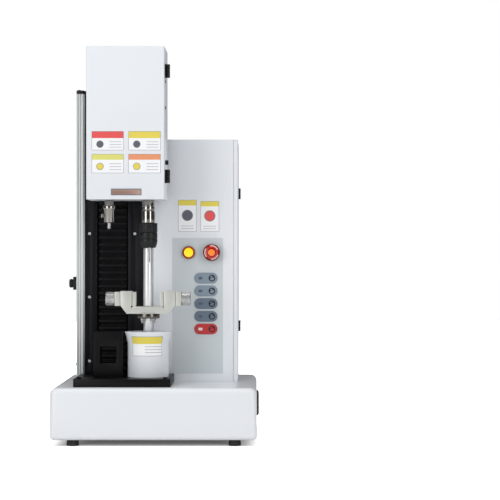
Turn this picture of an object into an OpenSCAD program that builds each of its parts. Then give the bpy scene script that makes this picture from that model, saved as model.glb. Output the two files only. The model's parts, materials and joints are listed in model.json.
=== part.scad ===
// Bench torsion tester: a rounded base, a bellows-covered lifting column with a two-station head,
// a torsion drive with a clamping yoke, and an electrical cabinet with the control keys.
// Origin: bottom centre of the footprint. X to the right, Y to the back, Z up. Millimetres.

/* [Base] */
// Width of the base housing
base_w = 457; // [440:1:520]
// Depth of the base housing
base_d = 470; // [460:1:540]
// Height of the base housing
base_h = 115; // [112:1:150]
// Wall thickness of the base housing
base_wall = 4; // [3:0.5:6]
// Rounding of the upper edges of the base
base_top_r = 15; // [10:1:20]
// Rounding of the lower edges of the base
base_low_r = 10; // [6:1:12]
// Thickness of the floor plate in the base
floor_t = 6; // [4:1:10]
// Diameter of a rubber foot
foot_d = 28; // [20:1:40]
// Height of a rubber foot
foot_h = 14; // [10:1:20]
// Length of a side grip
grip_l = 150; // [120:1:200]
// Height of a side grip
grip_h = 51; // [40:1:60]
// How far a side grip stands proud of the base
grip_proud = 5; // [4:0.5:8]

/* [Bed plate] */
// Width of the bed plate
bed_w = 216; // [214:1:222]
// Thickness of the bed plate
bed_t = 18; // [15:1:25]
// Distance from the front of the base to the bed plate
bed_inset = 30; // [20:1:40]

/* [Stations] */
// Sideways place of the push station
push_x = -106; // [-108:0.5:-104]
// Sideways place of the torsion station
torsion_x = -17.5; // [-19:0.5:-16]
// Distance from the front of the base to the axis of both stations
station_inset = 118; // [110:1:125]
// Distance from the station axis back to the column front
throat = 102; // [100:1:108]

/* [Column] */
// Height of the column above the bed plate
column_h = 648; // [620:1:700]
// Depth of the column
column_d = 90; // [88:1:110]
// Wall thickness of the column channel
column_wall = 8; // [6:1:10]
// Thickness of the column face plates
face_t = 10; // [8:1:12]
// Width of the bellows slot
slot_w = 72; // [70:1:76]
// Width of the left face plate
left_face_w = 28.4; // [26:0.2:32]
// Width of the right face plate
right_face_w = 58.2; // [56:0.2:58.2]
// Height of a bellows pleat
pleat_pitch = 15.7; // [10:0.1:20]
// Depth of a bellows pleat
pleat_d = 11; // [8:0.5:13]
// Thickness of the bellows sheet
pleat_t = 1.6; // [1:0.2:2.4]

/* [Lift] */
// Diameter of the ball screw
screw_d = 16; // [14:1:18]
// Diameter of the journals of the ball screw
journal_d = 12; // [10:1:13]
// Width of a guide rail
rail_w = 15; // [12:1:16]
// Distance of a guide rail from the ball screw
rail_x = 34; // [33:1:38]
// Width of the neck between the carriage and the head
neck_w = 64; // [50:1:66]
// Height of the neck
neck_h = 80; // [70:1:100]

/* [Head] */
// Width of the head cover
hood_w = 175.2; // [172:0.2:178]
// Depth of the head cover
hood_d = 137; // [132:1:140]
// Height of the head cover
hood_h = 342; // [330:1:360]
// Height of the underside of the head above the bed plate
hood_lift = 399.6; // [395:0.2:410]
// Sheet thickness of the head cover
hood_t = 2; // [1.5:0.5:3]
// Depth of the door of the head cover
hood_door_d = 20; // [16:1:26]
// Distance from the station axis forward to the front of the head cover
hood_front = 62; // [60:1:64]

/* [Push spindle] */
// Diameter of the push spindle body
push_body_d = 23; // [20:1:26]
// Diameter of the probe pin
probe_d = 8; // [6:1:10]
// Length of the probe pin that shows
probe_show = 14.7; // [10:0.1:25]

/* [Torsion spindle and chuck] */
// Diameter of the chuck
chuck_d = 42; // [40:1:46]
// Height of the chuck
chuck_h = 56; // [54:1:64]
// Diameter of the test rod
rod_d = 22.4; // [18:0.2:23]
// Diameter of the shank of the test rod
shank_d = 12; // [10:1:13]
// Gap between the rod end and the yoke bar
rod_gap = 0.9; // [0.6:0.1:3]

/* [Torsion drive and yoke] */
// Diameter of the drive cover
cover_d = 93; // [91:1:96]
// Height of the drive cover
cover_h = 102; // [100:1:110]
// Diameter of the lip at the top of the drive cover
cover_lip_d = 106; // [98:1:110]
// Diameter of the output shaft
shaft_d = 21; // [18:1:24]
// Length of the output shaft that shows
shaft_show = 30; // [25:1:36]
// Diameter of the hub under the yoke
hub_d = 52; // [48:1:56]
// Thickness of the hub under the yoke
hub_t = 10.5; // [8:0.5:12]
// Thickness of the yoke bar
bar_t = 16.3; // [14:0.1:20]
// Depth of the yoke
yoke_d = 32; // [30:1:36]
// Distance from the axis to the inner face of a yoke block
block_in = 35; // [32:0.5:36]
// Width of a yoke block
block_w = 27.5; // [26:0.5:28]
// Height of a yoke block above the bar
block_h = 34.9; // [34:0.1:40]
// Width of the outer plate on a yoke block
plate_w = 12.5; // [10:0.5:13]
// Thickness of a jaw
jaw_t = 8; // [6:0.5:9]
// Travel of a jaw
jaw_travel = 13; // [8:0.5:13]
// Diameter of a clamp knob
knob_d = 31.3; // [28:0.1:33]
// Width of a clamp knob
knob_w = 20.5; // [16:0.5:21]
// Diameter of the plunger behind a jaw
plunger_d = 16; // [14:1:20]
// Diameter of a clamp screw
clamp_screw_d = 8; // [6:1:10]

/* [Anvil] */
// Width of the anvil block
anvil_w = 66; // [60:1:70]
// Depth of the anvil block
anvil_d = 50; // [44:1:60]
// Height of the anvil block
anvil_h = 103; // [95:1:110]
// Side of the square window in the anvil block
window_w = 37; // [30:1:40]

/* [Cabinet] */
// Height of the cabinet above the base
cabinet_h = 561; // [540:1:600]
// Depth of the cabinet
cabinet_d = 235; // [225:1:240]
// Distance from the right side of the base to the cabinet
cabinet_inset = 44.3; // [38:0.1:46]
// Sheet thickness of the cabinet
sheet_t = 2; // [1.5:0.5:3]
// Thickness of the front panel
panel_t = 3; // [2:0.5:4]
// Depth of the side door
side_door_t = 9.3; // [8:0.1:12]

/* [Controls] */
// Distance from the right side of the cabinet to the middle of the key column
key_inset = 73.8; // [70:0.2:78]
// Height of the lowest key
key_z = 250.3; // [244:0.1:260]
// Distance between two keys
key_pitch = 29.5; // [28:0.1:32]
// Width of a key
key_w = 53; // [46:1:58]
// Height of a key
key_h = 24; // [18:1:25]
// How far a key stands proud of the panel
key_proud = 2.6; // [1.6:0.1:4]
// Travel of a key
key_travel = 1.2; // [0.8:0.1:1.6]
// Height of the power button and the stop button
button_z = 427.8; // [420:0.2:440]
// Distance from the right side of the cabinet to the power button
power_inset = 113.7; // [110:0.1:118]
// Distance from the right side of the cabinet to the stop button
stop_inset = 60.2; // [54:0.1:66]
// Diameter of the stop button
stop_d = 40; // [34:1:44]

/* [Limit rail] */
// Width of the limit rail
limit_w = 16; // [12:1:18]
// Depth of the limit rail
limit_d = 26; // [22:1:30]
// Height of the limit stop above the bed plate
limit_stop_z = 209.4; // [150:0.2:300]

/* [Hidden] */
$fn = 64;

eps = 0.01;
cut = 1;
fit = 0.05;
gap = 0.3;
seam = 0.5;

base_z0 = foot_h;
base_z1 = base_z0 + base_h;
base_in_z = base_z1 - base_wall;
base_y0 = -base_d / 2;
foot_side = 49;
foot_end = 30;
foot_x = base_w / 2 - foot_side;
foot_y = base_d / 2 - foot_end;
grip_z = base_z0 + 64.5;
frame_clear = 12.5;
post = 24;

bed_z1 = base_z1 + bed_t;
bed_right = 54.5;
bed_x1 = torsion_x + bed_right;
bed_x0 = bed_x1 - bed_w;
bed_y0 = base_y0 + bed_inset;

station_y = base_y0 + station_inset;
face_y = station_y + throat;
column_y1 = face_y + column_d;
bed_y1 = column_y1 + 15;
slot_x0 = push_x - slot_w / 2;
slot_x1 = push_x + slot_w / 2;
column_x0 = slot_x0 - left_face_w;
column_x1 = slot_x1 + right_face_w;
column_z1 = bed_z1 + column_h;
web_y = column_y1 - column_wall;
screw_back = 13.7;
screw_y = web_y - screw_back;

hood_z0 = bed_z1 + hood_lift;
hood_z1 = hood_z0 + hood_h;
hood_shift = 3.2;
hood_x0 = (push_x + torsion_x) / 2 - hood_shift - hood_w / 2;
hood_x1 = hood_x0 + hood_w;
hood_y0 = station_y - hood_front;
hood_y1 = hood_y0 + hood_d;
hood_seam_y = hood_y0 + hood_door_d;
frame_t = 8;
shelf_t = 12;
shelf_lift = 153.4;
shelf_z0 = hood_z0 + shelf_lift;
load_cell_h = 62;
torque_sensor_h = 70;

block_top = 4.3;
block_back = 28;
block_len = 30;
carriage_t = 12;
carriage_y1 = web_y - block_back;
carriage_y0 = carriage_y1 - carriage_t;
neck_lift = 54;
neck_z0 = hood_z0 + neck_lift;
neck_z1 = neck_z0 + neck_h;
carriage_z0 = neck_z0 - 8;
carriage_z1 = neck_z1 + 10;
nut_h = 40;
nut_z0 = carriage_z0 + 20;
coupling_d = 26;
coupling_z0 = base_z1 + 4;
coupling_h = 32;
bearing_h = 20;
low_bearing_z = bed_z1 + 21;
top_bearing_z = column_z1 - 30;

yoke_z0 = bed_z1 + cover_h + shaft_show + hub_t;
bar_z1 = yoke_z0 + bar_t;
knob_z = bar_z1 + block_h / 2;
block_out = block_in + block_w;
plate_out = block_out + plate_w;
jaw_in = block_in - jaw_t;
plunger_clear = 2;
plunger_l = block_w - plunger_clear;
clamp_hold = 9.5;
nose_d = 50;
nose_z1 = bed_z1 + cover_h - 11;
bearing_od = 42;
output_bearing_h = 12;
motor_side = 57;
gearbox_side = 58;
gearbox_h = 55;

chuck_drop = 52.2;
chuck_z1 = hood_z0 - chuck_drop;
chuck_z0 = chuck_z1 - chuck_h;
sleeve_h = 34.4;
core_d = chuck_d - 8;
chuck_mouth_d = 25;
chuck_bore_z = chuck_z1 - 6;
rod_z0 = bar_z1 + rod_gap;
shank_z0 = chuck_z0 + 5.5;
push_drop = 50.6;
push_z0 = hood_z0 - push_drop;

cabinet_x0 = column_x1 + 0.2;
cabinet_x1 = base_w / 2 - cabinet_inset;
key_x = cabinet_x1 - key_inset;
power_x = cabinet_x1 - power_inset;
stop_x = cabinet_x1 - stop_inset;
key_back = 6;
board_y = face_y + key_back + key_travel + 1.4;
board_t = 1.6;
cabinet_z0 = base_z1;
cabinet_z1 = cabinet_z0 + cabinet_h;
cabinet_y1 = face_y + cabinet_d;
panel_y1 = face_y + panel_t;
side_door_x0 = cabinet_x1 - side_door_t;
panel_x1 = side_door_x0 - seam;
side_hinge_y = cabinet_y1 - 20;
inlet_x = cabinet_x1 - 54;
inlet_z = cabinet_z0 + 51;
data_x = inlet_x - 45;

limit_x1 = column_x0 - 2.6;
limit_x0 = limit_x1 - limit_w;
limit_y0 = face_y - 12;
limit_z1 = column_z1;
stop_z = bed_z1 + limit_stop_z;

white = [0.9, 0.92, 0.93];
black = [0.09, 0.09, 0.1];
steel = [0.72, 0.73, 0.74];
alloy = [0.8, 0.79, 0.77];

// Square with round corners, made of circles and squares
module round_rect(w, h, r) {
    square([w - 2 * r, h], center = true);
    square([w, h - 2 * r], center = true);
    for (sx = [-1, 1], sy = [-1, 1])
        translate([sx * (w / 2 - r), sy * (h / 2 - r)]) circle(r);
}

// Plate standing on z = 0 with round upright edges
module round_plate(w, d, h, r) {
    linear_extrude(h) round_rect(w, d, r);
}

// Flat pill shape
module pill(w, h) {
    square([w - h, h], center = true);
    for (s = [-1, 1])
        translate([s * (w - h) / 2, 0]) circle(h / 2);
}

// Turns a shape that stands up along z so that it points to the front
module to_front() {
    rotate([90, 0, 0]) children();
}

// Turns a shape that stands up along z so that it points along x, to the side s
module to_side(s) {
    rotate([0, 90 * s, 0]) children();
}

// Tube standing on z = 0
module tube(od, id, h) {
    difference() {
        cylinder(d = od, h = h);
        translate([0, 0, -cut]) cylinder(d = id, h = h + 2 * cut);
    }
}

// Cap screw with a socket, head up, its seat at z = 0
module cap_screw(d, l) {
    difference() {
        union() {
            cylinder(d = 1.7 * d, h = 0.6 * d);
            translate([0, 0, -l]) cylinder(d = d, h = l + eps);
        }
        translate([0, 0, 0.25 * d]) cylinder(d = 0.9 * d, h = d, $fn = 6);
    }
}

// Hinge leaf with its half of the barrel, along z from 0 to h; side 1 is fixed and carries the pin
module hinge_leaf(h, leaf_w, leaf_t, barrel_r, pin_r, side) {
    offset_x = barrel_r + 0.1;
    own_z = side > 0 ? 0 : h / 2 + 0.2;
    own_h = h / 2 - 0.2;
    difference() {
        union() {
            translate([-offset_x, side > 0 ? 0 : -leaf_w, own_z]) cube([leaf_t, leaf_w, own_h]);
            translate([-offset_x, side > 0 ? barrel_r + 0.5 : -leaf_w, 0])
                cube([leaf_t, leaf_w - barrel_r - 0.5, h]);
            translate([0, 0, own_z]) cylinder(r = barrel_r, h = own_h);
            if (side > 0)
                cylinder(r = pin_r, h = h);
        }
        if (side < 0)
            translate([0, 0, -cut]) cylinder(r = pin_r + fit, h = h + 2 * cut);
    }
}

// Places of the bolts that hold the bed plate
function bed_bolts() = [
    for (p = [[bed_x0 + 12, bed_y0 + 14], [bed_x1 - 12, bed_y0 + 14],
              [column_x0 + 14, bed_y1 - 8], [column_x1 - 14, bed_y1 - 8]]) p
];

// Base

// Faceted ball, enlarged so that its flats reach the full radius
module corner_ball(r) {
    n = 32;
    sphere(r / cos(180 / n), $fn = n);
}

// Body of the base, shrunk on all sides by inset
module base_body(inset) {
    for_top = base_top_r - inset;
    for_low = base_low_r - inset;
    hull() for (sx = [-1, 1], sy = [-1, 1]) {
        translate([sx * (base_w / 2 - base_top_r), sy * (base_d / 2 - base_top_r), base_z1 - base_top_r])
            corner_ball(for_top);
        translate([sx * (base_w / 2 - base_low_r), sy * (base_d / 2 - base_low_r), base_z0 + base_low_r])
            corner_ball(for_low);
    }
}

module base_shell() {
    color(white) difference() {
        base_body(0);
        intersection() {
            base_body(base_wall);
            translate([-base_w / 2, -base_d / 2, base_z0 + base_low_r + cut]) cube([base_w, base_d, base_h]);
        }
        translate([0, 0, base_z0 - cut])
            round_plate(base_w - 2 * frame_clear + 1, base_d - 2 * frame_clear + 1, base_low_r + 3 * cut,
                base_low_r);
        translate([push_x, screw_y, base_in_z - cut]) cylinder(d = coupling_d + 10, h = base_wall + 3 * cut);
        translate([torsion_x, station_y, base_in_z])
            cube([motor_side + 3, motor_side + 3, 6 * base_wall], center = true);
    }
}

module base_frame() {
    color(black) union() {
        translate([0, 0, base_z0])
            round_plate(base_w - 2 * frame_clear, base_d - 2 * frame_clear, floor_t, base_low_r);
        for (x = [bed_x0 + 14, bed_x1 - 14], y = [bed_y0 + 14, bed_y1 - 14])
            translate([x - post / 2, y - post / 2, base_z0 + floor_t - eps])
                cube([post, post, base_in_z - base_z0 - floor_t + eps]);
        for (x = [cabinet_x0 + 60, cabinet_x1 - 14], y = [face_y + 20, base_d / 2 - 35])
            translate([x - post / 2, y - post / 2, base_z0 + floor_t - eps])
                cube([post, post, base_in_z - base_z0 - floor_t + eps]);
    }
}

module feet() {
    color(black) for (sx = [-1, 1], sy = [-1, 1])
        translate([sx * foot_x, sy * foot_y, 0]) rotate_extrude()
            polygon([[0, 0], [foot_d / 2 - 1.5, 0], [foot_d / 2, 1.5],
                [foot_d / 2 - 1, foot_h], [0, foot_h]]);
}

module side_grips() {
    rib_n = 6;
    color(black) for (s = [-1, 1])
        translate([s * base_w / 2, 0, grip_z]) rotate([0, 0, s > 0 ? 0 : 180]) difference() {
            to_side(1) hull() {
                linear_extrude(0.6 * grip_proud) rotate(90) pill(grip_l, grip_h, $fn = 32);
                linear_extrude(grip_proud) rotate(90) pill(grip_l - 8, grip_h - 8, $fn = 32);
            }
            for (i = [0 : rib_n - 1])
                translate([grip_proud - 1.2, (i - (rib_n - 1) / 2) * 14 - 2, -grip_h / 2 + 10])
                    cube([grip_proud, 4, grip_h - 20]);
        }
}

module bed_plate() {
    color(black) difference() {
        union() {
            translate([bed_x0, bed_y0, base_z1]) cube([bed_w, face_y - gap - bed_y0, bed_t]);
            translate([column_x0, station_y, base_z1])
                cube([column_x1 - column_x0, bed_y1 - station_y, bed_t]);
        }
        translate([bed_x0 - cut, limit_y0 - gap, base_z1 - cut])
            cube([column_x0 - bed_x0 + cut, limit_d + cut, bed_t + 2 * cut]);
        translate([push_x, screw_y, base_z1 - cut]) cylinder(d = coupling_d + 10, h = bed_t + 2 * cut);
        translate([torsion_x, station_y, base_z1])
            cube([motor_side + 1, motor_side + 1, 3 * bed_t], center = true);
        for (p = bed_bolts())
            translate([p[0], p[1], bed_z1 - 12]) cylinder(d = 6.6, h = 12 + cut);
    }
}

module face_screw_places() {
    for (z = [29, 177.7, 324.6])
        translate([column_x0 + 11.1, face_y, bed_z1 + z]) children();
    for (z = [324.6, 177.7, 29])
        translate([slot_x1 + 15.5, face_y, bed_z1 + z]) children();
}

module cap_screws() {
    color(steel) {
        for (p = bed_bolts())
            translate([p[0], p[1], bed_z1]) cap_screw(6, 11);
        face_screw_places() to_front() cap_screw(4, 8);
    }
}

// Column

module column_channel() {
    w = column_x1 - column_x0;
    y0 = face_y + face_t;
    color(black) difference() {
        translate([column_x0, y0, bed_z1]) cube([w, column_y1 - y0, column_h]);
        translate([column_x0 + column_wall, y0 - cut, bed_z1 - cut])
            cube([w - 2 * column_wall, web_y - y0 + cut, column_h + 2 * cut]);
    }
}

module column_face_plates() {
    color(black) difference() {
        union() {
            translate([column_x0, face_y, bed_z1]) cube([left_face_w, face_t, column_h]);
            translate([slot_x1, face_y, bed_z1]) cube([right_face_w, face_t, column_h]);
        }
        face_screw_places() to_front() translate([0, 0, -9]) cylinder(d = 4.4, h = 10);
    }
}

module end_caps() {
    color(black) {
        translate([(column_x0 + column_x1) / 2, (face_y + column_y1) / 2, column_z1]) difference() {
            round_plate(column_x1 - column_x0, column_d, 8, 3);
            translate([push_x - (column_x0 + column_x1) / 2, screw_y - (face_y + column_y1) / 2, -cut])
                cylinder(d = 20, h = 5);
        }
        translate([(limit_x0 + limit_x1) / 2 + 1, limit_y0 + limit_d / 2, limit_z1]) {
            round_plate(limit_w + 2, limit_d, 8, 3);
            translate([-3, 0, 7]) cylinder(d1 = 8, d2 = 6, h = 3);
        }
    }
}

module guide_rails() {
    rail_h = 15;
    color(steel) for (s = [-1, 1])
        translate([push_x + s * rail_x, web_y - rail_h / 2, bed_z1 + 12]) difference() {
            linear_extrude(column_h - 20) square([rail_w, rail_h], center = true);
            for (t = [-1, 1])
                translate([t * rail_w / 2, -rail_h / 6, -cut])
                    cylinder(d = 4, h = column_h, $fn = 16);
        }
}

module bearings() {
    color(steel) {
        for (z = [low_bearing_z, top_bearing_z])
            translate([push_x, screw_y, z]) difference() {
                translate([-15, -12, 0]) cube([30, web_y - screw_y + 12, bearing_h]);
                translate([0, 0, -cut]) cylinder(d = journal_d + 2 * fit, h = bearing_h + 2 * cut);
            }
        translate([torsion_x, station_y, nose_z1 - output_bearing_h])
            tube(bearing_od, shaft_d + 2 * fit, output_bearing_h);
    }
}

module lift_motor() {
    motor_h = 76;
    color(black) translate([push_x, screw_y, base_in_z - motor_h]) {
        for (z = [0, motor_h - 10])
            translate([0, 0, z]) round_plate(motor_side, motor_side, 10, 5);
        translate([0, 0, 5]) round_plate(motor_side - 4, motor_side - 4, motor_h - 10, 9);
        translate([0, 0, motor_h - eps]) cylinder(d = coupling_d + 9, h = 2);
        cylinder(d = 8, h = motor_h + 26);
    }
}

// Folded sheet in the slot, from the bed plate up to the neck of the head
module bellows() {
    z1 = neck_z0 - gap;
    n = floor((z1 - bed_z1) / pleat_pitch);
    step = (z1 - bed_z1) / n;
    y_out = face_y + 1;
    y_in = y_out + pleat_d;
    crest = step / 5;
    outer = [for (i = [0 : n - 1]) each [
        [y_in, i * step], [y_out, (i + 0.5) * step - crest], [y_out, (i + 0.5) * step + crest]]];
    inner = [for (i = [n - 1 : -1 : 0]) each [
        [y_in + pleat_t, (i + 1) * step], [y_out + pleat_t, (i + 0.5) * step + crest],
        [y_out + pleat_t, (i + 0.5) * step - crest]]];
    profile = concat(outer, [[y_in, n * step]], inner, [[y_in + pleat_t, 0]]);
    color(black) translate([slot_x0 + 0.6, 0, bed_z1])
        rotate([90, 0, 90]) linear_extrude(slot_w - 1.2) polygon(profile);
}

module limit_rail() {
    groove = 3;
    color(alloy) translate([limit_x0, limit_y0, base_z1]) difference() {
        union() {
            cube([limit_w, limit_d, limit_z1 - base_z1]);
            translate([limit_w - eps, 8, 0]) cube([column_x0 - limit_x1 + eps, 10, limit_z1 - base_z1]);
        }
        for (x = [limit_w / 3, 2 * limit_w / 3])
            translate([x - groove / 2, -cut, -cut]) cube([groove, 2 + cut, limit_z1]);
        translate([-cut, limit_d / 2 - 3, -cut]) cube([4 + cut, 6, limit_z1]);
        translate([2.5, limit_d / 2 - 5, -cut]) cube([3, 10, limit_z1]);
    }
}

// Cabinet

module cabinet_shell() {
    w = cabinet_x1 - cabinet_x0;
    d = cabinet_y1 - panel_y1;
    strip = cabinet_y1 - side_hinge_y;
    color(white) difference() {
        union() {
            translate([cabinet_x0, panel_y1, cabinet_z0]) cube([sheet_t, d, cabinet_h]);
            translate([cabinet_x0, cabinet_y1 - sheet_t, cabinet_z0]) cube([w, sheet_t, cabinet_h]);
            translate([cabinet_x0, panel_y1, cabinet_z0]) cube([w - side_door_t - seam, d, sheet_t]);
            translate([cabinet_x0, panel_y1, cabinet_z1 - sheet_t]) cube([w, d, sheet_t]);
            translate([cabinet_x1 - sheet_t, side_hinge_y + seam, cabinet_z0])
                cube([sheet_t, strip - seam, cabinet_h]);
            translate([panel_x1 - 12, panel_y1, cabinet_z0]) cube([12, 12, cabinet_h]);
        }
        for (i = [0 : 9])
            translate([cabinet_x0 + 60, cabinet_y1 - sheet_t - cut, cabinet_z1 - 60 - i * 12]) {
                cube([w - 120, sheet_t + 2 * cut, 5]);
            }
        translate([inlet_x - 24, cabinet_y1 - sheet_t - cut, inlet_z - 14])
            cube([48, sheet_t + 2 * cut, 28]);
        translate([data_x - 9, cabinet_y1 - sheet_t - cut, inlet_z - 8])
            cube([18, sheet_t + 2 * cut, 16]);
    }
}

module key_place(i) {
    translate([key_x, 0, key_z + i * key_pitch]) children();
}

module front_panel() {
    color(white) difference() {
        translate([cabinet_x0, face_y, cabinet_z0]) cube([panel_x1 - cabinet_x0, panel_t, cabinet_h]);
        for (i = [0 : 4])
            key_place(i) translate([0, panel_y1 + cut, 0]) to_front()
                linear_extrude(panel_t + 2 * cut) pill(key_w + 0.8, key_h + 0.8);
        for (x = [power_x, stop_x])
            translate([x, panel_y1 + cut, button_z]) to_front() cylinder(d = 22.5, h = panel_t + 2 * cut);
    }
}

module key(i) {
    color([0.45, 0.5, 0.62]) key_place(i) translate([0, face_y, 0]) {
        translate([0, key_back, 0]) to_front() linear_extrude(key_back + key_proud) pill(key_w, key_h);
        translate([0, key_back, 0]) to_front() linear_extrude(2) pill(key_w + 5, key_h + 4);
    }
}

module switch_bodies() {
    color([0.75, 0.75, 0.72]) {
        translate([power_x, face_y, button_z]) to_front() difference() {
            union() {
                cylinder(d = 30, h = 7);
                translate([0, 0, -24]) cylinder(d = 22, h = 24 + eps);
                translate([-14, -15, -50]) cube([28, 30, 26 + eps]);
            }
            translate([0, 0, 1]) cylinder(d = 24.4, h = 8);
        }
        translate([stop_x, face_y, button_z]) to_front() difference() {
            union() {
                cylinder(d = 31, h = 4.5);
                translate([0, 0, -24]) cylinder(d = 22, h = 24 + eps);
                translate([-14, -15, -50]) cube([28, 30, 26 + eps]);
            }
            translate([0, 0, -12]) cylinder(d = 14 + 2 * fit, h = 20);
        }
    }
}

module power_lens() {
    color([0.95, 0.7, 0.1]) translate([power_x, face_y, button_z]) to_front() translate([0, 0, 4])
        rotate_extrude() polygon([[0, 0], [12, 0], [12, 4.5], [11, 5.5], [7, 6.5], [0, 7]]);
}

module stop_stem() {
    color(steel) translate([stop_x, face_y, button_z]) to_front() translate([0, 0, -7.5]) {
        cylinder(d = 14, h = 26);
    }
}

module stop_cap() {
    r = stop_d / 2;
    color([0.8, 0.1, 0.08]) translate([stop_x, face_y, button_z]) to_front() translate([0, 0, 9.5])
        difference() {
            rotate_extrude() polygon([[0, 0], [r - 3, 0], [r, 3], [r, 7], [r - 1.5, 10],
                [r - 5, 12.8], [r - 11, 14.6], [0, 15.2]]);
            translate([0, 0, -cut]) cylinder(d = 14 + 2 * fit, h = 9 + 0.2 + cut);
        }
}

module circuit_boards() {
    color([0.1, 0.35, 0.2]) {
        translate([key_x - key_w / 2 - 5.5, board_y, key_z - 16])
            cube([key_w + 11, board_t, 4 * key_pitch + 32]);
        for (x = [-1, 1], z = [-14, 4 * key_pitch + 14])
            translate([key_x + x * (key_w / 2 + 3.5), board_y + eps, key_z + z]) to_front()
                cylinder(d = 3.6, h = board_y - panel_y1 + eps);
        translate([cabinet_x0 + sheet_t + 6, face_y + 60, cabinet_z0 + 180]) {
            cube([board_t, 130, 180]);
            for (y = [8, 122], z = [8, 172])
                translate([eps, y, z]) to_side(-1) cylinder(d = 6, h = 6 + eps);
            for (z = [20, 70, 120])
                translate([board_t - eps, 20, z]) cube([16, 40, 36]);
            translate([board_t - eps, 84, 20]) cube([12, 26, 140]);
        }
    }
}

module power_supply() {
    w = 98;
    d = 42;
    h = 199;
    color(steel) translate([cabinet_x0 + 30, cabinet_y1 - sheet_t - d, inlet_z + 40]) difference() {
        cube([w, d, h]);
        for (i = [0 : 7])
            translate([12, -cut, 24 + i * 18]) cube([w - 24, 2 + cut, 7]);
    }
}

module rear_sockets() {
    color(black) {
        translate([inlet_x, cabinet_y1, inlet_z]) difference() {
            union() {
                translate([-30, 0, -16]) cube([60, 3, 32]);
                translate([-23.5, -22, -13.5]) cube([47, 22 + eps, 27]);
            }
            translate([-14, -14, -9]) cube([28, 20, 18]);
        }
        translate([data_x, cabinet_y1, inlet_z]) difference() {
            union() {
                translate([-12, 0, -11]) cube([24, 2, 22]);
                translate([-8.5, -16, -7.5]) cube([17, 16 + eps, 15]);
            }
            translate([-6, -10, -5.5]) cube([12, 14, 11]);
        }
    }
}

side_hinge_h = 26;
side_hinge_zs = [cabinet_z0 + 107, cabinet_z0 + 429];
side_hinge_r = 2.5;
side_hinge_x = cabinet_x1 + side_hinge_r + 0.1;

module side_hinge(side) {
    for (z = side_hinge_zs)
        translate([side_hinge_x, side_hinge_y, z])
            hinge_leaf(side_hinge_h, 14, 1.6, side_hinge_r, 1.2, side);
}

module side_hinges() {
    color(black) side_hinge(1);
}

module side_door() {
    z0 = cabinet_z0 + seam;
    h = cabinet_h - sheet_t - 2 * seam;
    d = side_hinge_y - face_y - seam / 2;
    color(white) union() {
        difference() {
            translate([side_door_x0, face_y, z0]) cube([side_door_t, d, h]);
            translate([side_door_x0 - cut, face_y + sheet_t, z0 + sheet_t])
                cube([side_door_t - sheet_t + cut, d - 2 * sheet_t, h - 2 * sheet_t]);
        }
        side_hinge(-1);
    }
}

// Drive and anvil

module drive_cover() {
    wall = 2.5;
    r = cover_d / 2;
    lip_r = cover_lip_d / 2;
    lip_z = cover_h - 26;
    color(white) translate([torsion_x, station_y, bed_z1]) rotate_extrude()
        polygon([[r - wall, 0], [r, 0], [r, lip_z], [lip_r - 1, cover_h - 4], [lip_r, cover_h - 1.5],
            [lip_r - 1.5, cover_h], [shaft_d / 2 + 2, cover_h], [shaft_d / 2 + 2, cover_h - wall],
            [r - wall, cover_h - wall]]);
}

module torsion_gearmotor() {
    motor_h = base_in_z - base_z0 - floor_t - 20;
    color(steel) translate([torsion_x, station_y, bed_z1]) difference() {
        union() {
            round_plate(gearbox_side, gearbox_side, gearbox_h, 6);
            cylinder(d = nose_d, h = nose_z1 - bed_z1);
            translate([0, 0, -bed_t - base_wall - motor_h + 10])
                round_plate(motor_side - 1, motor_side - 1, motor_h + bed_t + base_wall - 10 + eps, 6);
            for (x = [-1, 1], y = [-1, 1])
                translate([x * 30, y * 18, 0]) cylinder(d = 9, h = 6);
        }
        translate([0, 0, gearbox_h - 16]) cylinder(d = shaft_d + 2 * fit, h = cover_h);
        translate([0, 0, nose_z1 - bed_z1 - output_bearing_h])
            cylinder(d = bearing_od, h = output_bearing_h + cut);
    }
}

module anvil_block() {
    window_z = bed_z1 + 50.5;
    color(black) difference() {
        translate([push_x, station_y, bed_z1]) {
            round_plate(anvil_w, anvil_d, anvil_h - 3, 2);
            translate([0, 0, anvil_h - 3 - eps]) round_plate(anvil_w - 4, anvil_d - 4, 3 + eps, 2);
        }
        translate([push_x - window_w / 2, station_y - anvil_d, window_z - window_w / 2])
            cube([window_w, 2 * anvil_d, window_w]);
    }
}

module drive_shaft() {
    color(steel) translate([torsion_x, station_y, 0]) difference() {
        union() {
            translate([0, 0, bed_z1 + gearbox_h - 15]) cylinder(d = shaft_d, h = yoke_z0 - bed_z1 - gearbox_h + 15);
            translate([0, 0, yoke_z0 - hub_t]) cylinder(d = hub_d, h = hub_t);
        }
        for (a = [45 : 90 : 315])
            rotate(a) translate([hub_d / 2 - 8, 0, yoke_z0 - hub_t - cut])
                cylinder(d = 5.4, h = hub_t + 2 * cut);
    }
}

module hub_screws() {
    color(steel) for (a = [45 : 90 : 315])
        translate([torsion_x, station_y, yoke_z0 - hub_t]) rotate(a) translate([hub_d / 2 - 8, 0, 0])
            mirror([0, 0, 1]) {
                cylinder(d = 9, h = 5);
                cylinder(d1 = 6.4, d2 = 5, h = 10.4);
                translate([0, 0, -hub_t - 10]) cylinder(d = 5, h = hub_t + 10 + eps);
            }
}

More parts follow.
